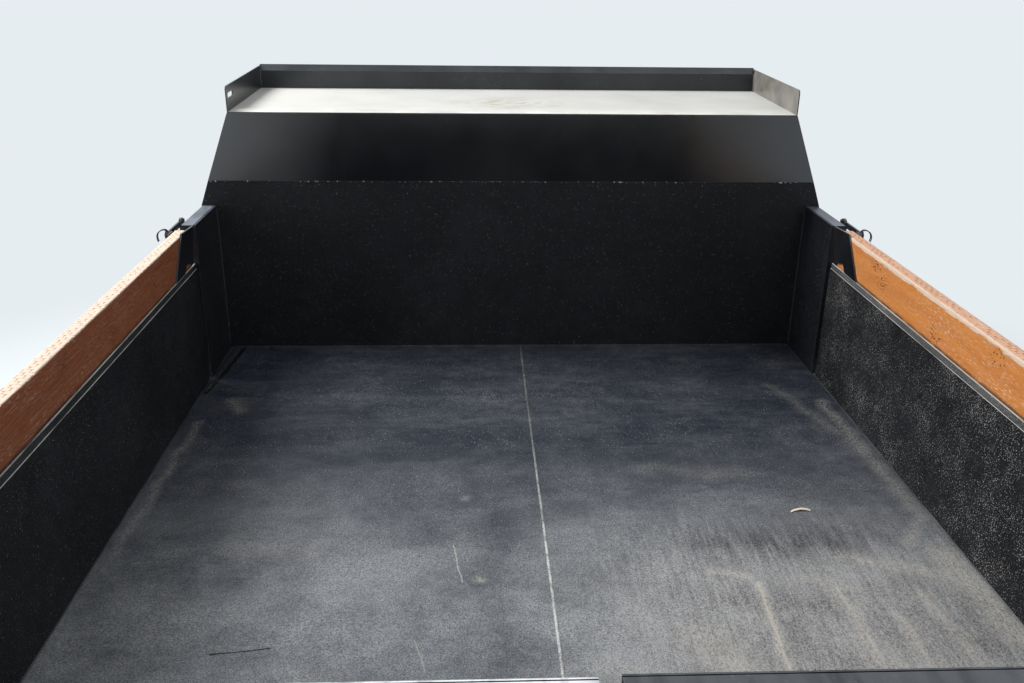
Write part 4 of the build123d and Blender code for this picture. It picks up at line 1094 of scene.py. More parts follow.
    @staticmethod
    def inset(thickness: float, depth: float = 0.0, apart: bool = False) -> None:
        """Insets the selected faces, in millimetres, each by itself where they are apart."""
        bpy.ops.mesh.inset(use_individual=apart, thickness=thickness * MM, depth=depth * MM)

    @classmethod
    def united(cls, name: str, parts: list[Piece]) -> Piece:
        """Joins pieces into one that gets a name of its own."""
        whole = parts[0].joined(parts[1:])
        whole.obj.name = whole.obj.data.name = name
        return whole

    def joined(self, others: Iterable[Piece]) -> Piece:
        """Takes other pieces into this one."""
        self.select()
        for other in others:
            other.obj.select_set(True)
        bpy.ops.object.join()
        return self

    def smooth(self, angle: float = 32.0) -> Piece:
        """Shades the piece smooth, apart from edges sharper than an angle in degrees."""
        self.select()
        bpy.ops.object.shade_smooth_by_angle(angle=math.radians(angle))
        return self

    def outward(self) -> Piece:
        """Turns all normals outwards."""
        self.pick_all()
        bpy.ops.mesh.normals_make_consistent(inside=False)
        self.clear()
        return self

    def dressed(self, finish: Finish) -> Piece:
        """Gives the whole piece one finish."""
        self.obj.data.materials.clear()
        self.obj.data.materials.append(finish.material())
        return self

    def fitted(self, body: str, slot: Slot, replaced: Iterable[str] = ()) -> Piece:
        """Puts the piece on a body.

        Args:
            body: Body that carries it.
            slot: Material slot of the record; not used.
            replaced: CAD nodes that it stands for.

        Returns:
            This piece.
        """
        self.clear()
        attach(self.obj, body)
        if replaced:
            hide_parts(*replaced)
        LOG.info("%s on %s, %d faces", self.obj.name, body, len(self.obj.data.polygons))
        return self


@dataclass
class Layout:
    """Levels and faces of the body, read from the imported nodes, in millimetres."""

    floor: float = 0.0
    head: float = 0.0
    rear: float = 0.0
    half: float = 0.0
    outer: float = 0.0
    post_top: float = 0.0
    gate_front: float = 0.0
    gate_rear: float = 0.0
    leaf_strap: float = 0.0

    @classmethod
    def read(cls) -> Layout:
        """Reads the places from the frame."""
        sheet, posts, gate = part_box("floor_left"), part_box("front_posts"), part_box("side_gate_right")
        board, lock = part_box("headboard_lower"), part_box("leaf_lock_right")
        return cls(floor=sheet[1].z / MM, head=board[0].y / MM, rear=sheet[0].y / MM, half=gate[0].x / MM,
                   outer=posts[1].x / MM, post_top=posts[1].z / MM, gate_front=gate[1].y / MM,
                   gate_rear=gate[0].y / MM, leaf_strap=lock[1].y / MM - 6)


@dataclass
class GateBoard:
    """A plank in the channel of a side: arrises eased, faces cut by rows of incisions from its treatment."""

    side: Side
    columns: int = 124
    rows: int = 18
    strips: int = 4
    easing: float = 4.0
    slit_side: float = 3.3
    slit_top: float = 3.9
    slit_depth: float = 0.7
    slit_area: float = 2.4e-5
    waver: float = 0.35
    skipped: float = 0.25

    def build(self) -> Piece:
        """Builds the plank in place of its solid.

        Returns:
            The plank.
        """
        name = f"gate_board_{self.side.word}"
        low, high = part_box(name)
        plank = self.add_grid(name, low, high)
        plank.pick_all()
        thick = high.x - low.x
        for _ in range(self.strips):
            plank.extrude(thick / MM / self.strips, 0, 0)
        plank.outward()
        mid = (low + high) / 2

        def along_corner(a: Vector, b: Vector) -> bool:
            """True for the edges along the four long arrises."""
            def corner(p: Vector) -> bool:
                return (abs(abs(p.x - mid.x) - thick / 2) < 1e-5
                        and abs(abs(p.z - mid.z) - (high.z - low.z) / 2) < 1e-5)
            return corner(a) and corner(b) and abs(a.y - b.y) > 1e-4

        plank.pick_edges(along_corner)
        bpy.ops.mesh.bevel(offset=self.easing * MM, segments=3, affect="EDGES")
        plank.clear()
        self.roughen(plank)
        self.incise(plank, low, high)
        plank.smooth(40)
        plank.dressed(Finishes.lumber)
        plank.obj.data.materials.append(Finishes.slit.material())
        self.darken(plank)
        return plank.fitted(f"side_{self.side.word}", Slot.WOOD, [name])

    def add_grid(self, name: str, low: Vector, high: Vector) -> Piece:
        """Adds the grid that is extruded into the plank."""
        Piece.clear()
        at = Vector((low.x, (low.y + high.y) / 2, (low.z + high.z) / 2))
        bpy.ops.mesh.primitive_grid_add(x_subdivisions=self.rows, y_subdivisions=self.columns, size=1.0,
                                        location=at, rotation=(0, math.radians(90), 0))
        bpy.context.object.scale = (high.z - low.z, high.y - low.y, 1.0)
        return Piece.adopt(name + "_incised")

    def roughen(self, plank: Piece) -> None:
        """Pushes each point a little, by a draw from its place, since the order of points isn't fixed."""
        for point in plank.obj.data.vertices:
            draw = random.Random(str([round(10 * v / MM) for v in point.co]))
            push = Vector([draw.gauss(0, 1) for _ in point.co]).normalized()
            point.co += push * self.waver * MM

    def incise(self, plank: Piece, low: Vector, high: Vector) -> None:
        """Cuts staggered slits into both faces.

        Args:
            plank: Board under work.
            low: Lowest corner of its solid.
            high: Highest corner of its solid.
        """
        draw = random.Random(31 + self.side.value)
        cells = [(face, row, column) for face in range(3) for row in range(self.rows)
                 for column in range(self.columns)]
        cut = {cell for cell in cells if draw.random() > self.skipped}
        step_y = (high.y - low.y) / self.columns
        step_z = (high.z - low.z) / self.rows

        def chosen(centre: Vector, normal: Vector) -> bool:
            """True for the cells of both wide faces that get a slit."""
            column = int((centre.y - low.y) / step_y)
            row = int((centre.z - low.z) / step_z)
            staggered = (column + 2 * row) % 4 == 0 and 1 < row < self.rows - 2
            return abs(normal.x) > 0.9 and staggered and (int(normal.x > 0), row, column) in cut

        def upper(centre: Vector, normal: Vector) -> bool:
            """True for the cells of the narrow top that get a slit."""
            column = int((centre.y - low.y) / step_y)
            strip = int((centre.x - low.x) / (high.x - low.x) * self.strips)
            return normal.z > 0.9 and (column + strip) % 2 == 0 and (2, strip, column) in cut

        for test, margin in ((chosen, self.slit_side), (upper, self.slit_top)):
            plank.pick(test)
            plank.inset(margin, -self.slit_depth, apart=True)
            plank.clear()

    def darken(self, plank: Piece) -> None:
        """Gives the bottoms of the slits in the top their darker wood."""
        for face in plank.obj.data.polygons:
            if face.area < self.slit_area and face.normal.z > 0.9:
                face.material_index = 1


@dataclass
class FloorSheets:
    """The two floor sheets: dented and sagging a little between cross members; the coated welded seam between
    them is built as a bead of its own.
    """

    layout: Layout
    cell: float = 9.0
    sag: float = 0.9
    pitch: float = 304.0
    seed: int = 5
    dents: tuple[tuple[float, float, float, float], ...] = ((-183.0, -170.0, 34.0, 3.0),
                                                            (-145.0, -537.0, 36.0, 3.6),
                                                            (-70.0, -688.0, 32.0, 3.2),
                                                            (420.0, -820.0, 60.0, 1.6),
                                                            (-520.0, -900.0, 60.0, 1.8),
                                                            (610.0, -1180.0, 50.0, 1.8),
                                                            (-380.0, 300.0, 90.0, 1.4),
                                                            (350.0, 380.0, 100.0, 1.3),
                                                            (840.0, -420.0, 45.0, 1.8),
                                                            (-800.0, -350.0, 60.0, 1.6),
                                                            (230.0, -170.0, 70.0, 1.5),
                                                            (-300.0, -640.0, 44.0, 1.6),)
    scuffs: tuple[Mark, ...] = (
        Mark((518, -573), (500, -900), 15, 1.0), Mark((696, -560), (703, -880), 24, 0.60),
        Mark((801, -700), (823, -930), 18, 0.75), Mark((426, -522), (500, -548), 24, 0.70),
        Mark((905, -620), (918, -1010), 26, 0.50), Mark((345, -770), (430, -1000), 90, 0.55),
        Mark((720, -900), (1010, -960), 100, 0.45), Mark((1020, -470), (1040, -800), 60, 0.70),
        Mark((760, -470), (1000, -560), 40, 0.50), Mark((640, -560), (740, -600), 26, 0.45),
        Mark((950, -420), (1040, -300), 30, 0.40), Mark((120, -860), (300, -930), 60, 0.30),
        Mark((-760, -380), (-560, -420), 70, 0.14), Mark((-945, 464), (-905, 380), 36, 0.30),
        Mark((-1020, 300), (-1035, -420), 22, 0.30), Mark((1020, 420), (1040, -250), 34, 0.36),
        Mark((880, 560), (990, 200), 30, 0.18), Mark((330, -20), (620, -60), 50, 0.12),
        # The three small round marks on the centres of the first three dents lay them paler: partly scraped
        # coat, partly painted highlight of the dents' lit sides.
        Mark((-183, -170), (-180, -172), 22, 0.40), Mark((-145, -537), (-142, -539), 24, 0.60),
        Mark((-70, -688), (-68, -690), 16, 0.40), Mark((-520, -1280), (-360, -1180), 70, 0.30),
        Mark((560, -1180), (600, -1440), 40, 0.40), Mark((-820, -1100), (-800, -1380), 34, 0.30),
    )
    shades: tuple[Mark, ...] = (
        Mark((430, -405), (770, -415), 95, 0.80), Mark((470, -640), (640, -660), 70, 0.50),
        Mark((860, 420), (930, 120), 70, 0.55), Mark((-300, 120), (300, 60), 110, 0.40),
        Mark((560, -720), (680, -960), 80, 0.45), Mark((-90, -330), (-340, -360), 60, 0.30),
    )

    def build(self) -> list[Piece]:
        """Builds both sheets in place of their solids.

        Returns:
            Both pieces.
        """
        made = []
        for word in ("left", "right"):
            low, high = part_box(f"floor_{word}")
            name = f"floor_{word}"
            columns = round((high.x - low.x) / MM / self.cell)
            rows = round((high.y - low.y) / MM / self.cell)
            sheet = Piece.grid(name + "_dented", (low.x / MM, low.y / MM, high.z / MM),
                               (high.x / MM, high.y / MM, high.z / MM), columns, rows)
            sheet.pick_all()
            sheet.extrude(0, 0, (low.z - high.z) / MM)
            sheet.outward()
            sheet.pick(lambda centre, normal: normal.z < -0.9)
            bpy.ops.mesh.dissolve_faces()
            sheet.clear()
            for point in sheet.obj.data.vertices:
                if point.co.z > high.z - 1e-5:
                    point.co.z -= self.drop(point.co) * MM
            self.wear(sheet, high.z - 0.01)
            sheet.smooth(30).dressed(Finishes.floor)
            made.append(sheet.fitted("bed", Slot.LINER, [name]))
        return made

    def wear(self, sheet: Piece, above: float) -> None:
        """Writes into the sheet where loads have scraped it pale, with painted highlights on three dents, and
        where its dust is thinned to darker marks.

        Args:
            sheet: Sheet under work.
            above: Points higher than this, in metres, are on its upper side.
        """
        noise.seed_set(self.seed)
        held = sheet.obj.data.color_attributes.new("wear", "FLOAT_COLOR", "POINT")
        for point, cell in zip(sheet.obj.data.vertices, held.data):
            if point.co.z > above:
                push = noise.noise_vector(point.co * 11) * 0.016
                x, y = (point.co.x + push.x) / MM, (point.co.y + push.y) / MM
                cell.color = (self.strength(self.scuffs, x, y), self.strength(self.shades, x, y), 0.0, 1.0)
            else:
                cell.color = (0.0, 0.0, 0.0, 1.0)

    @staticmethod
    def strength(marks: Iterable[Mark], x: float, y: float) -> float:
        """The strongest of several marks at a place in millimetres, 0 outside them all."""
        best = 0.0
        for mark in marks:
            (ax, ay), (bx, by) = mark.start, mark.end
            span = (bx - ax) ** 2 + (by - ay) ** 2
            share = min(1.0, max(0.0, ((x - ax) * (bx - ax) + (y - ay) * (by - ay)) / span))
            away = math.hypot(x - ax - share * (bx - ax), y - ay - share * (by - ay))
            best = max(best, mark.strength * (1 - away / mark.half))
        return best

    def drop(self, place: Vector) -> float:
        """How far the sheet's top is pushed down at a place, in millimetres."""
        x, y = place.x / MM, place.y / MM
        wave = noise.noise(Vector((x / 260, y / 200, 0.5)))
        down = self.sag * (0.5 + 0.5 * math.cos(2 * math.pi * (self.layout.head - y) / self.pitch
                                                + math.pi)) + 0.5 * wave
        for cx, cy, radius, depth in self.dents:
            away = math.hypot(x - cx, y - cy) / radius
            if away < 1:
                down += depth * (1 - away * away) ** 2
        edge = min(abs(abs(x) - self.layout.half), abs(y - self.layout.rear), abs(y - self.layout.head))
        return max(0.0, down) * min(1.0, edge / 60)


@dataclass
class Bead:
    """A weld bead or coated seam: a low strip with the ripples of its run."""

    name: str
    start: Point
    end: Point
    up: Point
    width: float = 7.0
    height: float = 2.4
    ripple: float = 5.0
    across: int = 6
    uneven: float = 0.35
    body: str = "bed"

    def build(self, finish: Finish, slot: Slot) -> Piece:
        """Builds the bead along its line.

        Args:
            finish: Coat on the bead.
            slot: Material slot of the record.

        Returns:
            The bead.
        """
        return self.strip().dressed(finish).fitted(self.body, slot)

    def strip(self) -> Piece:
        """Shapes the bead along its line, still without its finish."""
        a, b = Vector(self.start) * MM, Vector(self.end) * MM
        length = (b - a).length
        steps = max(4, round(length / (self.ripple * MM) * 2))
        Piece.clear()
        bpy.ops.mesh.primitive_grid_add(x_subdivisions=steps, y_subdivisions=self.across, size=1.0)
        strip = Piece.adopt(self.name)
        along = (b - a).normalized()
        up = Vector(self.up).normalized()
        over = up.cross(along).normalized()
        for point in strip.obj.data.vertices:
            u, v = point.co.x + 0.5, point.co.y * 2
            s = u * length
            phase = (s / (self.ripple * MM) + 0.35 * v * v) % 1.0
            swell = 1 + self.uneven * noise.noise(Vector((s * 40, self.start[1], 1.7)))
            rise = math.sqrt(max(0.0, 1 - v * v)) * (0.78 + 0.22 * phase) * self.height * MM * swell
            side = v * self.width / 2 * MM * (0.9 + 0.2 * noise.noise(Vector((s * 60, 3.1, self.start[0]))))
            ends = min(1.0, min(s, length - s) / (self.width * MM))
            point.co = a + along * s + over * side * (0.4 + 0.6 * ends) + up * (rise * ends - 0.0004)
        return strip.outward().smooth(60)


@dataclass
class Stitches:
    """Short welds at the feet of pressed ribs: one is shaped and copied down both feet of each rib."""

    tag: str
    body: str
    length: float = 34.0

    def build(self, places: Iterable[tuple[Vector, Vector, Vector]]) -> Piece:
        """Sets the welds down.

        Args:
            places: Middle of each weld in millimetres, the way the plate faces and the way the weld runs.

        Returns:
            The joined welds.
        """
        half = self.length / 2
        first = Bead(self.tag + "_first", (0, 0, -half), (0, 0, half), (1, 0, 0), width=8.0, height=3.0,
                     ripple=6.0, across=4).strip()
        made = []
        for index, (middle, out, run) in enumerate(places):
            turn = Matrix((out, run.cross(out), run)).transposed().to_4x4()
            made.append(first.copied(f"{self.tag}_{index}", Matrix.Translation(middle * MM) @ turn))
        bpy.data.objects.remove(first.obj)
        return Piece.united(self.tag, made).dressed(Finishes.enamel).fitted(self.body, Slot.PAINT)


@dataclass
class RibWelds:
    """The welds of all pressed ribs: on the sides, on the tailgate leaves and in front of the headboard."""

    layout: Layout
    skin: float = 1070.0
    foot: float = 33.5
    gate_inset: float = 25.0
    gate_bays: int = 5
    gate_heights: tuple[float, ...] = (84.0, 158.0, 232.0, 306.0, 344.0)
    leaf_ribs: Spot = (398.0, 744.5)
    leaf_heights: tuple[float, ...] = (76.0, 160.0, 244.0, 328.0, 412.0, 470.0)
    front_ribs: tuple[float, ...] = (-780.0, -265.0, 265.0, 780.0)
    front_foot: float = 36.5
    front_heights: tuple[float, ...] = (40.0, 140.0, 240.0, 340.0, 440.0, 540.0, 610.0, 680.0, 760.0, 830.0)

    def build(self) -> None:
        """Builds the welds of each plate."""
        at = self.layout
        up = Vector((0, 0, 1))
        bay = (at.gate_front - at.gate_rear - 2 * self.gate_inset) / self.gate_bays
        ribs = [at.gate_rear + self.gate_inset + bay * k for k in range(1, self.gate_bays)]
        for side in Side:
            sign = side.value
            Stitches(f"side_rib_welds_{side.word}", f"side_{side.word}").build(
                (Vector((sign * self.skin, y + foot, at.floor + height)), Vector((sign, 0, 0)), up)
                for y in ribs for foot in (-self.foot, self.foot) for height in self.gate_heights)
            Stitches(f"leaf_rib_welds_{side.word}", f"leaf_{side.word}").build(
                (Vector((sign * (x + foot), at.rear - 9, at.floor + height)), Vector((0, -1, 0)), up)
                for x in self.leaf_ribs for foot in (-self.foot, self.foot) for height in self.leaf_heights)
        Stitches("headboard_rib_welds", "bed").build(
            (Vector((x + foot, at.head + 4.8, at.floor + height)), Vector((0, 1, 0)), up)
            for x in self.front_ribs for foot in (-self.front_foot, self.front_foot)
            for height in self.front_heights)


@dataclass
class ShieldCorners:
    """The shield's front corners: a small plate closes the end of the kicked lip, a bead fills the corner."""

    half: float = 999.0
    thick: float = 4.4
    outline: tuple[Spot, ...] = ((1528.0, 1279.0), (1545.5, 1284.4), (1559.6, 1288.9), (1548.0, 1268.0),
                                 (1545.6, 1262.0), (1538.0, 1262.0))

    def build(self) -> None:
        """Builds plate and beads at both corners."""
        for side in Side:
            sign = side.value
            plate = Piece.plate(f"shield_corner_{side.word}", self.outline, sign * self.half,
                                sign * (self.half + self.thick))
            bead = Bead(f"shield_corner_weld_{side.word}", (sign * 1000.4, 1541.8, 1194),
                        (sign * 1000.4, 1541.0, 1272), (-sign, -1, 0), width=9.0, height=3.4,
                        ripple=6.0).strip()
            plate.joined([bead]).dressed(Finishes.enamel).fitted("bed", Slot.PAINT)


@dataclass
class Fastener:
    """A hexagon bolt head on a washer, made once and copied to its places."""

    name: str
    across: float = 16.0
    head: float = 7.0
    washer: float = 15.0
    washer_thick: float = 2.2

    def pattern(self) -> Piece:
        """Makes the bolt at the origin, looking along +X.

        Returns:
            The bolt head with its washer.
        """
        radius = self.across / 2 / math.cos(math.radians(30))
        head = Piece.bar(self.name, (self.washer_thick, 0, 0), (self.washer_thick + self.head, 0, 0),
                         radius, 6)
        head.pick(lambda centre, normal: normal.x > 0.9)
        head.inset(1.2, 0.9)
        head.inset(2.4, -0.5)
        plate = Piece.bar(self.name + "_washer", (0, 0, 0), (self.washer_thick, 0, 0), self.washer, 20)
        plate.bevelled(0.5, 1)
        head.bevelled(0.4, 1)
        return head.joined([plate]).smooth(35)

    def at(self, places: Iterable[tuple[Vector, Vector]], body: str, finish: Finish, slot: Slot,
           tag: str) -> Piece:
        """Copies the bolt to its places and joins the copies.

        Args:
            places: Point on the surface in millimetres and the direction the head faces.
            body: Body that carries them.
            finish: Finish of the bolts.
            slot: Material slot of the record.
            tag: Name of the joined piece.

        Returns:
            The joined piece.
        """
        first = self.pattern()
        made = []
        for index, (point, out) in enumerate(places):
            turn = Vector((1, 0, 0)).rotation_difference(Vector(out)).to_matrix().to_4x4()
            spin = Matrix.Rotation(index * 0.7, 4, "X")
            made.append(first.copied(f"{tag}_{index}", Matrix.Translation(Vector(point) * MM) @ turn @ spin))
        bpy.data.objects.remove(first.obj)
        return Piece.united(tag, made).dressed(finish).fitted(body, slot)


@dataclass
class GateLatches:
    """The latches at both ends of a side: forged bar, pivot with washer, keeper hook and wire bails."""

    side: Side
    layout: Layout
    thick: float = 9.0
    length: float = 182.0
    high: float = 26.0
    pin_from_end: float = 62.0
    wire: float = 1.7

    def build(self) -> Piece:
        """Builds the four-part latches at both ends in place of their solid.

        Returns:
            The joined latches of the side.
        """
        name = f"gate_latches_{self.side.word}"
        low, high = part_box(name)
        low, high = low / MM, high / MM
        sign = self.side.value
        inner = min(abs(low.x), abs(high.x))
        mid_z = (low.z + high.z) / 2
        parts: list[Piece] = []
        for end, toward in (("front", 1), ("rear", -1)):
            tip = high.y if toward > 0 else low.y
            gate_end = self.layout.gate_front if toward > 0 else self.layout.gate_rear
            pin_y = gate_end - toward * self.pin_from_end
            parts += self.latch(f"{name}_{end}", sign, inner, mid_z, tip, pin_y, toward)
        whole = Piece.united(name + "_forged", parts).smooth(35).dressed(Finishes.enamel)
        return whole.fitted(f"side_{self.side.word}", Slot.PAINT, [name])

    def latch(self, name: str, sign: int, inner: float, mid_z: float, tip: float, pin_y: float,
              toward: int) -> list[Piece]:
        """Builds one latch.

        Args:
            name: First part of the pieces' names.
            sign: Sign of X on this side.
            inner: X of the bar's inner face, without its sign.
            mid_z: Z of the bar's middle.
            tip: Y of the bar's end over the post.
            pin_y: Y of the pivot.
            toward: Direction of Y from the pivot to the post.

        Returns:
            The latch's pieces.
        """
        tail = tip - toward * self.length
        face = inner + self.thick
        middle = inner + self.thick / 2

        def at(out: float, y: float, rise: float) -> Point:
            """Point from its distance outwards, its Y and its height over the bar's middle."""
            return sign * out, y, mid_z + rise

        course = [at(middle, tail, 0), at(middle, tail + toward * 0.3 * self.length, 1),
                  at(middle, tip - toward * 34, 2), at(middle - 1, tip - toward * 12, 2),
                  at(middle - 4, tip, 2)]
        bar = Piece.formed(name + "_bar", course, (0, 0, self.high - 6), self.thick - 2, 1.4)
        dome = [(0.0, 0), (15.0, 0), (15.0, 2.4), (13.8, 3.2), (9.4, 3.4), (9.0, 5.2), (0.0, 5.8)]
        boss = Piece.turned(name + "_boss", dome, at(face - 1.4, pin_y, 0), (sign, 0, 0), 24)
        bent = [at(inner + 2, tip - toward * back, rise) for back, rise
                in ((40, -9), (40, 9), (36, 15), (26, 18), (14, 15))]
        pieces = [bar, boss, Piece.formed(name + "_hook", bent, (sign * 9, 0, 0), 5.0, 1.0)]
        out = 7.0 if toward < 0 else 24.0
        for step in (0, 9):
            start = tail + toward * (8 + step)
            bail = [at(face - 6, start, 4), at(face - 5, start - toward * 3, 17),
                    at(face + 0.35 * out, start - toward * 10, 21),
                    at(face + 0.9 * out, start - toward * 18, 12), at(face + out, start - toward * 22, -4),
                    at(face + 0.8 * out, start - toward * 24, -15)]
            pieces.append(Piece.wire(f"{name}_bail_{step}", bail, self.wire))
        return pieces


@dataclass
class LeafLock:
    """Lock rod of a tailgate leaf: round rod with a ground tip, pressed guides, riveted, and a bent lever."""

    side: Side
    rod: float = 8.0
    tip: float = 9.0
    edge: float = 23.0
    guide_heights: tuple[float, ...] = (70.0, 225.0, 360.0)
    guide_height: float = 24.0
    plate: float = 2.5
    lever_height: float = 300.0
    reach: float = 150.0

    def build(self, layout: Layout) -> Piece:
        """Builds the lock in place of its solid.

        Args:
            layout: Levels of the body.

        Returns:
            The joined lock.
        """
        name = f"leaf_lock_{self.side.word}"
        low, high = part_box(name)
        low, high = low / MM, high / MM
        sign = self.side.value
        x = low.x + self.edge if sign > 0 else high.x - self.edge
        face = high.y
        y = face - 3 - self.rod
        rod = Piece.bar(name + "_rod", (x, y, low.z + self.tip), (x, y, high.z), self.rod, 28)
        rod.pick(lambda centre, normal: normal.z < -0.9)
        rod.extrude(0, 0, -self.tip)
        bpy.ops.transform.resize(value=(0.62, 0.62, 1.0))
        rod.bevelled(1.0, 2, 50).smooth(40)
        parts = []
        for index, height in enumerate(self.guide_heights):
            z = layout.floor + height
            depth = 3 + 2 * self.rod + self.plate / 2
            bend = self.rod + self.plate
            arch = [(x + bend * math.sin(a), face - depth + bend * (1 - math.cos(a)), z)
                    for a in (math.radians(v) for v in range(-90, 91, 15))]
            feet = self.edge
            course = [(x - feet, face - self.plate / 2, z), (x - self.rod - 5, face - self.plate / 2, z),
                      *arch, (x + self.rod + 5, face - self.plate / 2, z),
                      (x + feet, face - self.plate / 2, z)]
            parts.append(Piece.formed(f"{name}_guide_{index}", course, (0, 0, self.guide_height), self.plate,
                                      0.5))
            for turn in (-1, 1):
                parts.append(Piece.turned(f"{name}_rivet_{index}_{turn}",
                                          [(0, 2.6), (1.8, 2.3), (3.2, 1.4), (3.8, 0.0), (0, 0)],
                                          (x + turn * (feet - 5), face - self.plate, z), (0, -1, 0), 14))
        z = layout.floor + self.lever_height
        y_bar = y - self.rod
        lever = [(x - sign * 10, y_bar + 3, z), (x + sign * 20, y_bar + 2, z),
                 (x + sign * 60, y_bar + 2, z), (x + sign * 84, y_bar - 2, z + 2),
                 (x + sign * 110, y_bar - 5, z + 4), (x + sign * self.reach, y_bar - 5, z + 4)]
        parts.append(Piece.formed(name + "_lever", lever, (0, 0, 22), 6.0, 1.2))
        collar = [(self.rod - 0.5, -14), (self.rod + 4, -14), (self.rod + 5, -12), (self.rod + 5, 12),
                  (self.rod + 4, 14), (self.rod - 0.5, 14)]
        parts.append(Piece.turned(name + "_collar", collar, (x, y, z), (0, 0, 1), 24))
        whole = Piece.united(name + "_made", [rod, *parts]).dressed(Finishes.enamel)
        return whole.fitted(f"leaf_{self.side.word}", Slot.PAINT, [name])


@dataclass
class RearLamps:
    """Oval stop lamps in rubber grommets and three small markers, with moulded lenses."""

    layout: Layout
    places: tuple[float, ...] = (-905.0, 905.0)
    marker_places: tuple[float, ...] = (-152.0, 0.0, 152.0)
    length: float = 164.0
    height: float = 56.0
    marker: Spot = (64.0, 26.0)

    def build(self) -> None:
        """Builds lenses, grommets and markers in place of their solid."""
        low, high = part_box("rear_lamps")
        z = (low.z + high.z) / 2 / MM
        face = self.layout.rear
        lenses, rings = [], []
        for index, x in enumerate(self.places):
            ring = self.oval(f"lamp_grommet_{index}", x, z, face - 2.0, face + 26, self.height / 2)
            ring.pick(lambda centre, normal: normal.y < -0.9)
            ring.inset(5)
            ring.inset(1.2, -2.0)
            rings.append(ring.bevelled(0.8, 2, 50).smooth(40))
            lens = self.oval(f"lamp_lens_{index}", x, z, face - 1.5, face + 4, self.height / 2 - 6)
            lens.pick(lambda centre, normal: normal.y < -0.9)
            for margin, depth in ((2.0, 1.6), (3.0, -0.7), (1.0, 0.7)):
                lens.inset(margin, depth)
            lens.clear()
            flutes = []
            for step in range(-11, 12):
                at = x + step * 5.0
                half = 13.0 if abs(step) < 10 else 10.0
                flute = Piece.bar(f"flute_{index}_{step + 11}", (at, face - 3.0, z - half),
                                  (at, face - 3.0, z + half), 1.5, 8)
                flutes.append(flute)
            lenses.append(lens.joined(flutes).smooth(40))
        for index, x in enumerate(self.marker_places):
            wide, tall = self.marker
            base = Piece.block(f"marker_base_{index}", (x - wide / 2, face - 3, z - tall / 2),
                               (x + wide / 2, face, z + tall / 2))
            rings.append(base.bevelled(2.4, 3))
            lens = Piece.block(f"marker_lens_{index}", (x - wide / 2 + 5, face - 5, z - tall / 2 + 4),
                               (x + wide / 2 - 5, face - 2, z + tall / 2 - 4))
            lens.pick(lambda centre, normal: normal.y < -0.9)
            lens.extrude(0, -2.8, 0)
            bpy.ops.transform.resize(value=(0.82, 1.0, 0.6))
            lenses.append(lens.bevelled(1.1, 3, 15).smooth(40))
        Piece.united("lamp_lenses", lenses).dressed(Finishes.lens).fitted("bed", Slot.LENS, ["rear_lamps"])
        Piece.united("lamp_grommets", rings).dressed(Finishes.rubber).fitted("bed", Slot.RUBBER)

    def oval(self, name: str, x: float, z: float, y0: float, y1: float, radius: float) -> Piece:
        """Makes an oval slab of the lamp's straight length around a place."""
        piece = Piece.bar(name, (x, y0, z), (x, y1, z), radius, 48)
        shift = (self.length - self.height) / 2 * MM
        for point in piece.obj.data.vertices:
            away = point.co.x - x * MM
            if abs(away) > 1e-5:
                point.co.x += math.copysign(shift, away)
        return piece


@dataclass
class HoistDress:
    """What a bare cylinder lacks: gland nuts with spanner slots, wipers and an oil port."""

    origin: Point = (0.0, -651.265, 66.0)
    along: Point = (0.0, -0.948208, 0.317650)
    port: Spot = (74.0, 53.0)
    mouths: tuple[tuple[str, float, float, float], ...] = (("hoist_barrel", 331.35, 48.0, 59.6),
                                                           ("hoist_stage_1", 343.35, 40.5, 47.2),
                                                           ("hoist_stage_2", 355.35, 33.0, 39.7))

    def build(self) -> None:
        """Builds the fittings of the cylinder."""
        for body, end, bore, outer in self.mouths:
            nut = Piece.turned(body + "_gland",
                               [(bore + 0.3, end - 1), (outer, end - 1), (outer, end + 4),
                                (outer - 1.2, end + 5.5), (bore + 2.2, end + 5.5), (bore + 0.3, end + 3.5)],
                               self.origin, self.along, 48)
            centre = (Vector(self.origin) + Vector(self.along) * (end + 2)) * MM

            def slotted(at: Vector, normal: Vector, centre: Vector = centre, outer: float = outer) -> bool:
                """True for the faces that become spanner slots."""
                away = at - centre
                flat = away - Vector(self.along) * away.dot(Vector(self.along))
                radial = flat.normalized()
                across = radial.cross(Vector((1, 0, 0))).dot(Vector(self.along)) or 1e-9
                sector = int((math.degrees(math.atan2(radial.x, across)) + 180) / 7.5)
                return flat.length > (outer - 2) * MM and normal.dot(radial) > 0.9 and sector % 8 == 0

            nut.pick(slotted)
            nut.inset(0.4, -2.4)
            nut.clear()
            nut.dressed(Finishes.enamel if body == "hoist_barrel" else Finishes.zinc)
            nut.fitted(body, Slot.PAINT if body == "hoist_barrel" else Slot.ZINC)
            wiper = Piece.turned(body + "_wiper",
                                 [(bore - 0.6, end + 3), (bore + 2.4, end + 3), (bore + 1.8, end + 6.6),
                                  (bore - 0.2, end + 7.4)], self.origin, self.along, 40)
            wiper.dressed(Finishes.rubber).fitted(body, Slot.RUBBER)
        self.build_port()

    def build_port(self) -> None:
        """Builds the oil port near the barrel's foot, closed by a plug as before it is piped up."""
        side = Vector((1, 0, 0))
        start = Vector(self.origin) + Vector(self.along) * self.port[0] + side * self.port[1]
        boss = Piece.turned("hoist_port_boss", [(0, 0), (15, 0), (14, 7), (11, 8), (11, 10), (0, 10)], start,
                            side, 24)
        plug = Piece.bar("hoist_port_plug", start + side * 9, start + side * 17, 10.5, 6)
        plug.pick(lambda centre, normal: normal.x > 0.9)
        plug.inset(2.0, 0.8)
        plug.bevelled(0.5, 1).smooth(30)
        Piece.united("hoist_oil_port", [boss, plug]).dressed(Finishes.zinc).fitted("hoist_barrel", Slot.ZINC)


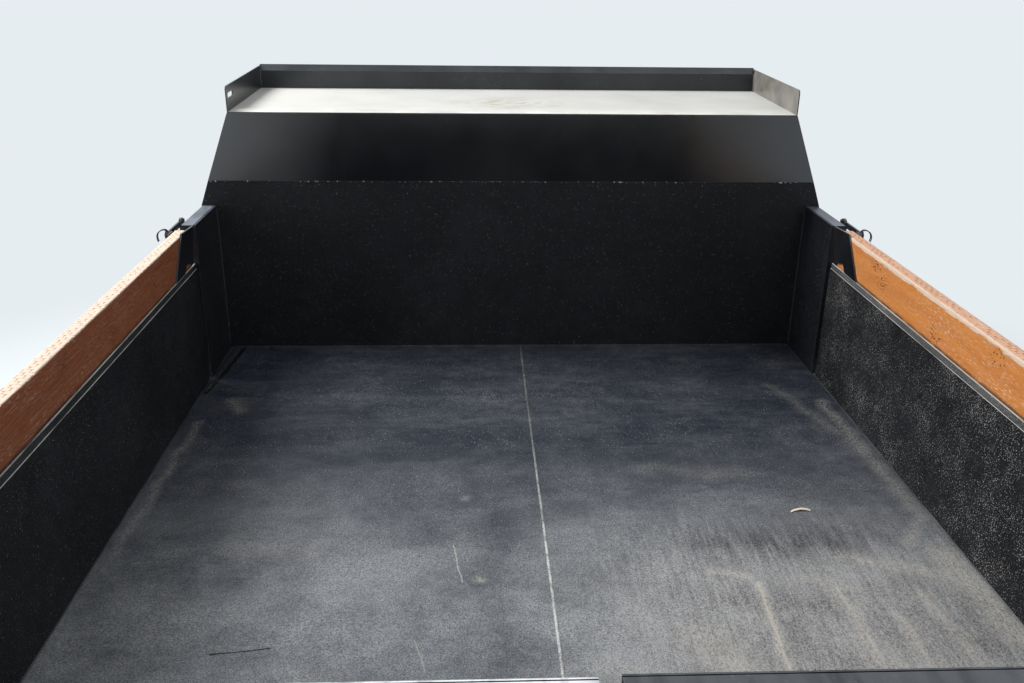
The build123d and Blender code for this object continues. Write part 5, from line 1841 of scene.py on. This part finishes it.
@dataclass
class Hardware:
    """Bolts on hinges and straps, and the caps and locking plates of the hinge pins."""

    layout: Layout
    side_inset: float = 190.0
    strap_half: float = 18.0
    strap_rows: Spot = (48.0, 86.0)
    leaf_heights: Spot = (95.0, 450.0)
    leaf_backs: Point = (50.0, 140.0, 240.0)
    pin_y: float = -1401.265
    pin_z: float = 75.0

    def build(self) -> None:
        """Copies the bolts to their places."""
        at = self.layout
        strap_x, strap_z = at.outer + 6, at.floor + 6
        middles = (at.gate_front - self.side_inset, (at.gate_front + at.gate_rear) / 2,
                   at.gate_rear + self.side_inset)
        bolt = Fastener("strap_bolt", across=15.0, head=6.0, washer=11.5)
        small = Fastener("leaf_bolt", across=13.0, head=5.0, washer=10.0)
        for side in Side:
            sign = side.value
            places = [(Vector((sign * strap_x, y + dy, strap_z + dz)), Vector((sign, 0, 0))) for y in middles
                      for dy in (-self.strap_half, self.strap_half) for dz in self.strap_rows]
            bolt.at(places, f"side_{side.word}", Finishes.zinc, Slot.ZINC, f"side_hinge_bolts_{side.word}")
            edge = at.outer - 2
            places = [(Vector((sign * (edge - back), at.leaf_strap, at.floor + height)), Vector((0, -1, 0)))
                      for height in self.leaf_heights for back in self.leaf_backs]
            small.at(places, f"leaf_{side.word}", Finishes.zinc, Slot.ZINC, f"leaf_hinge_bolts_{side.word}")
        self.build_pin_locks()

    def build_pin_locks(self) -> None:
        """Builds the caps and locking plates of the rear hinge pins."""
        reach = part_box("rear_hinge_mount")[1].x / MM
        pins = []
        y, z = self.pin_y, self.pin_z
        for side in Side:
            x = side.value * reach
            disc = Piece.turned(f"pin_cap_{side.word}",
                                [(0, -1), (20.5, -1), (20.5, 1.4), (18, 3.0), (4, 3.0), (3.4, 8.0), (0, 8.6)],
                                (x, y, z), (side.value, 0, 0), 32)
            plate = Piece.block(f"pin_lock_{side.word}", (x - 3.4, y - 12, z + 16), (x + 3.4, y + 12, z + 30))
            pins += [disc, plate.bevelled(1.2, 2)]
        Piece.united("rear_hinge_pin_locks", pins).dressed(Finishes.zinc).fitted("subframe", Slot.ZINC)


@dataclass
class Litter:
    """What lies or peels in the load space: a chip of wood and the curled edge of the liner in one corner."""

    layout: Layout
    chip: tuple[Point, ...] = ((697, -266, 0.9), (708, -261, 2.6), (726, -257, 4.2), (742, -258, 3.0),
                               (752, -261, 1.2))
    curl: tuple[Spot, Spot] = ((-1036, 926), (-1060, 530))

    def build(self) -> None:
        """Builds the chip and the curl."""
        floor = self.layout.floor
        course = [(x, y, floor + rise) for x, y, rise in self.chip]
        chip = Piece.formed("wood_chip", course, (3, 9, 0), 1.6, 0.4)
        chip.dressed(Finishes.splinter).fitted("bed", Slot.WOOD)
        start, end = ((*spot, floor) for spot in self.curl)
        Bead("liner_curl", start, end, (0.3, 0, 1), width=26.0, height=8.0, ripple=44.0,
             across=8, uneven=0.9).build(Finishes.liner, Slot.LINER)


@dataclass
class Carried:
    """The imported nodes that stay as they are, each with its finish."""

    finishes: dict[str, Finish] = field(default_factory=lambda: {
        "side_gate_right": Finishes.gate, "side_gate_left": Finishes.gate,
        "front_posts": Finishes.post, "rear_posts": Finishes.post,
        "headboard_lower": Finishes.headboard, "headboard_upper": Finishes.gloss,
        "tail_leaf_right": Finishes.leaf, "tail_leaf_left": Finishes.leaf,
        "cab_shield": Finishes.tray, "rest_strips": Finishes.rubber, "rear_lamps": Finishes.lens,
        "hoist_stage_1": Finishes.chrome, "hoist_stage_2": Finishes.chrome, "hoist_rod": Finishes.chrome,
        "gate_board_right": Finishes.lumber, "gate_board_left": Finishes.lumber,
        "floor_left": Finishes.floor, "floor_right": Finishes.floor,
    })

    def dress(self, nodes: dict[str, bpy.types.Object]) -> None:
        """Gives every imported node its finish."""
        for name, obj in nodes.items():
            finish = self.finishes.get(name, Finishes.enamel)
            for place in obj.material_slots:
                place.material = finish.material()
            LOG.info("%s wears %s", name, finish.name)


@dataclass
class Camera:
    """The camera at the place from which the photograph was taken."""

    place: Point = (-0.1575, -2.433465, 1.6756)
    lens: float = 33.39
    pitch: float = 21.70
    yaw: float = 2.62
    roll: float = -0.73

    def build(self) -> None:
        """Adds the camera and makes it the scene's."""
        pitch, yaw, roll = (math.radians(v) for v in (self.pitch, self.yaw, self.roll))
        ahead = Vector((math.sin(yaw) * math.cos(pitch), math.cos(yaw) * math.cos(pitch), -math.sin(pitch)))
        right = Vector((math.cos(yaw), -math.sin(yaw), 0))
        down = ahead.cross(right)
        rolled_right = math.cos(roll) * right + math.sin(roll) * down
        rolled_down = -math.sin(roll) * right + math.cos(roll) * down
        data = bpy.data.cameras.new("camera")
        data.sensor_width = 36.0
        data.lens = self.lens
        data.clip_start, data.clip_end = 0.02, 200.0
        camera = bpy.data.objects.new("camera", data)
        bpy.context.scene.collection.objects.link(camera)
        turn = Matrix((rolled_right, -rolled_down, -ahead)).transposed().to_4x4()
        camera.matrix_world = Matrix.Translation(Vector(self.place)) @ turn
        bpy.context.scene.camera = camera


@dataclass
class Studio:
    """Plain pale floor, soft lamps and a pale surrounding."""

    ambient: float = 0.46
    pale: str = "#e6edf1"
    ground: str = "#d9dee0"
    ground_second: str = "#d2d8db"
    sky: str = "#f4f7fa"
    fade: Spot = (1.7, 3.4)
    aim: Point = (0.0, -0.2, 0.5)
    lamps: tuple[tuple[str, Point, float, float], ...] = (
        ("key", (-4.4, 2.4, 5.4), 3.0, 480.0),
        ("fill", (2.6, -5.0, 4.8), 5.0, 110.0),
        ("low", (-3.5, -5.0, 1.6), 3.0, 50.0),
    )

    def build(self) -> None:
        """Builds floor, world and lamps."""
        self.build_floor()
        self.build_world()
        for name, place, size, watts in self.lamps:
            data = bpy.data.lights.new(name, "AREA")
            data.shape, data.size, data.energy = "DISK", size, watts
            lamp = bpy.data.objects.new(name, data)
            bpy.context.scene.collection.objects.link(lamp)
            lamp.location = place
            lamp.rotation_euler = (Vector(self.aim) - Vector(place)).to_track_quat("-Z", "Y").to_euler()

    def build_floor(self) -> None:
        """Adds the floor, which turns to the pale surrounding far from the object."""
        Piece.clear()
        bpy.ops.mesh.primitive_circle_add(vertices=64, radius=60.0, fill_type="NGON")
        floor = Piece.adopt("studio_floor")
        made = bpy.data.materials.new("pale_studio_floor")
        made.use_nodes = True
        tree = made.node_tree
        tree.nodes.clear()
        place = add_node(tree, "TexCoord").outputs["Object"]
        cloud = add_node(tree, "TexNoise", place, 1.4, 4.0)
        tint = add_node(tree, "Mix", cloud, linear(self.ground), linear(self.ground_second), data_type="RGBA")
        plain = add_node(tree, "BsdfPrincipled", named={"Base Color": tint, "Roughness": 0.9})
        away = add_node(tree, "VectorMath", place, operation="LENGTH")
        far = add_node(tree, "MapRange", away, *self.fade, interpolation_type="SMOOTHSTEP")
        seen = self.seen(tree)
        factor = add_node(tree, "Math", far, seen, operation="MULTIPLY")
        glow = add_node(tree, "Emission", linear(self.pale), 1.0)
        mixed = add_node(tree, "MixShader", factor, plain, glow)
        add_node(tree, "OutputMaterial", named={"Surface": mixed})
        floor.obj.data.materials.append(made)

    @staticmethod
    def seen(tree: bpy.types.NodeTree) -> Source:
        """Socket that is 1 for camera, glossy and transmission rays."""
        path = add_node(tree, "LightPath")
        first = add_node(tree, "Math", path.outputs["Is Camera Ray"], path.outputs["Is Glossy Ray"],
                         operation="MAXIMUM")
        return add_node(tree, "Math", first, path.outputs["Is Transmission Ray"], operation="MAXIMUM")

    def build_world(self) -> None:
        """Sets the pale surrounding, whose light on the object is plain."""
        world = bpy.data.worlds.new("studio")
        bpy.context.scene.world = world
        world.use_nodes = True
        tree = world.node_tree
        tree.nodes.clear()
        light = add_node(tree, "Background", linear(self.sky), self.ambient)
        shown = add_node(tree, "Background", linear(self.pale), 1.0)
        mixed = add_node(tree, "MixShader", self.seen(tree), light, shown)
        add_node(tree, "OutputWorld", named={"Surface": mixed})


@dataclass
class Seams:
    """Weld beads and coated seams in the load space and around the headboard."""

    layout: Layout

    def build(self) -> None:
        """Builds all beads."""
        at = self.layout
        seam_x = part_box("floor_right")[0].x / MM
        upper_low, upper_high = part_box("headboard_upper")
        break_z, break_half = upper_low.z / MM, upper_high.x / MM
        lined = (Finishes.liner, Slot.LINER)
        Bead("floor_seam_bead", (seam_x, at.head - 4, at.floor), (seam_x, at.rear + 4, at.floor), (0, 0, 1),
             width=8.0, height=2.8, ripple=11.0, uneven=0.6).build(Finishes.bead, Slot.LINER)
        Bead("headboard_seam_bead", (-break_half + 4, at.head, break_z), (break_half - 4, at.head, break_z),
             (0, -1, 0), width=6.0, height=1.6, ripple=7.0).build(Finishes.joint, Slot.PAINT)
        Bead("headboard_foot_bead", (-at.half + 4, at.head - 1, at.floor + 1),
             (at.half - 4, at.head - 1, at.floor + 1), (0, -1, 1), width=9.0, height=3.2).build(*lined)
        for side in Side:
            x = side.value * at.half
            Bead(f"post_bead_{side.word}", (x - side.value, at.head - 1, at.floor + 6),
                 (x - side.value, at.head - 1, at.post_top - 4), (-side.value, -1, 0), width=8.0,
                 height=2.8).build(*lined)


def main() -> None:
    """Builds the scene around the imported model."""
    logging.basicConfig(level=logging.INFO, format="%(message)s")
    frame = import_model()
    Camera().build()
    Studio().build()
    Carried().dress(frame["nodes"])
    layout = Layout.read()
    for side in Side:
        GateBoard(side).build()
        GateLatches(side, layout).build()
        LeafLock(side).build(layout)
    FloorSheets(layout).build()
    Seams(layout).build()
    RearLamps(layout).build()
    RibWelds(layout).build()
    ShieldCorners().build()
    HoistDress().build()
    Hardware(layout).build()
    Litter(layout).build()
    bpy.context.scene.view_settings.view_transform = "Standard"


if __name__ == "__main__":
    main()
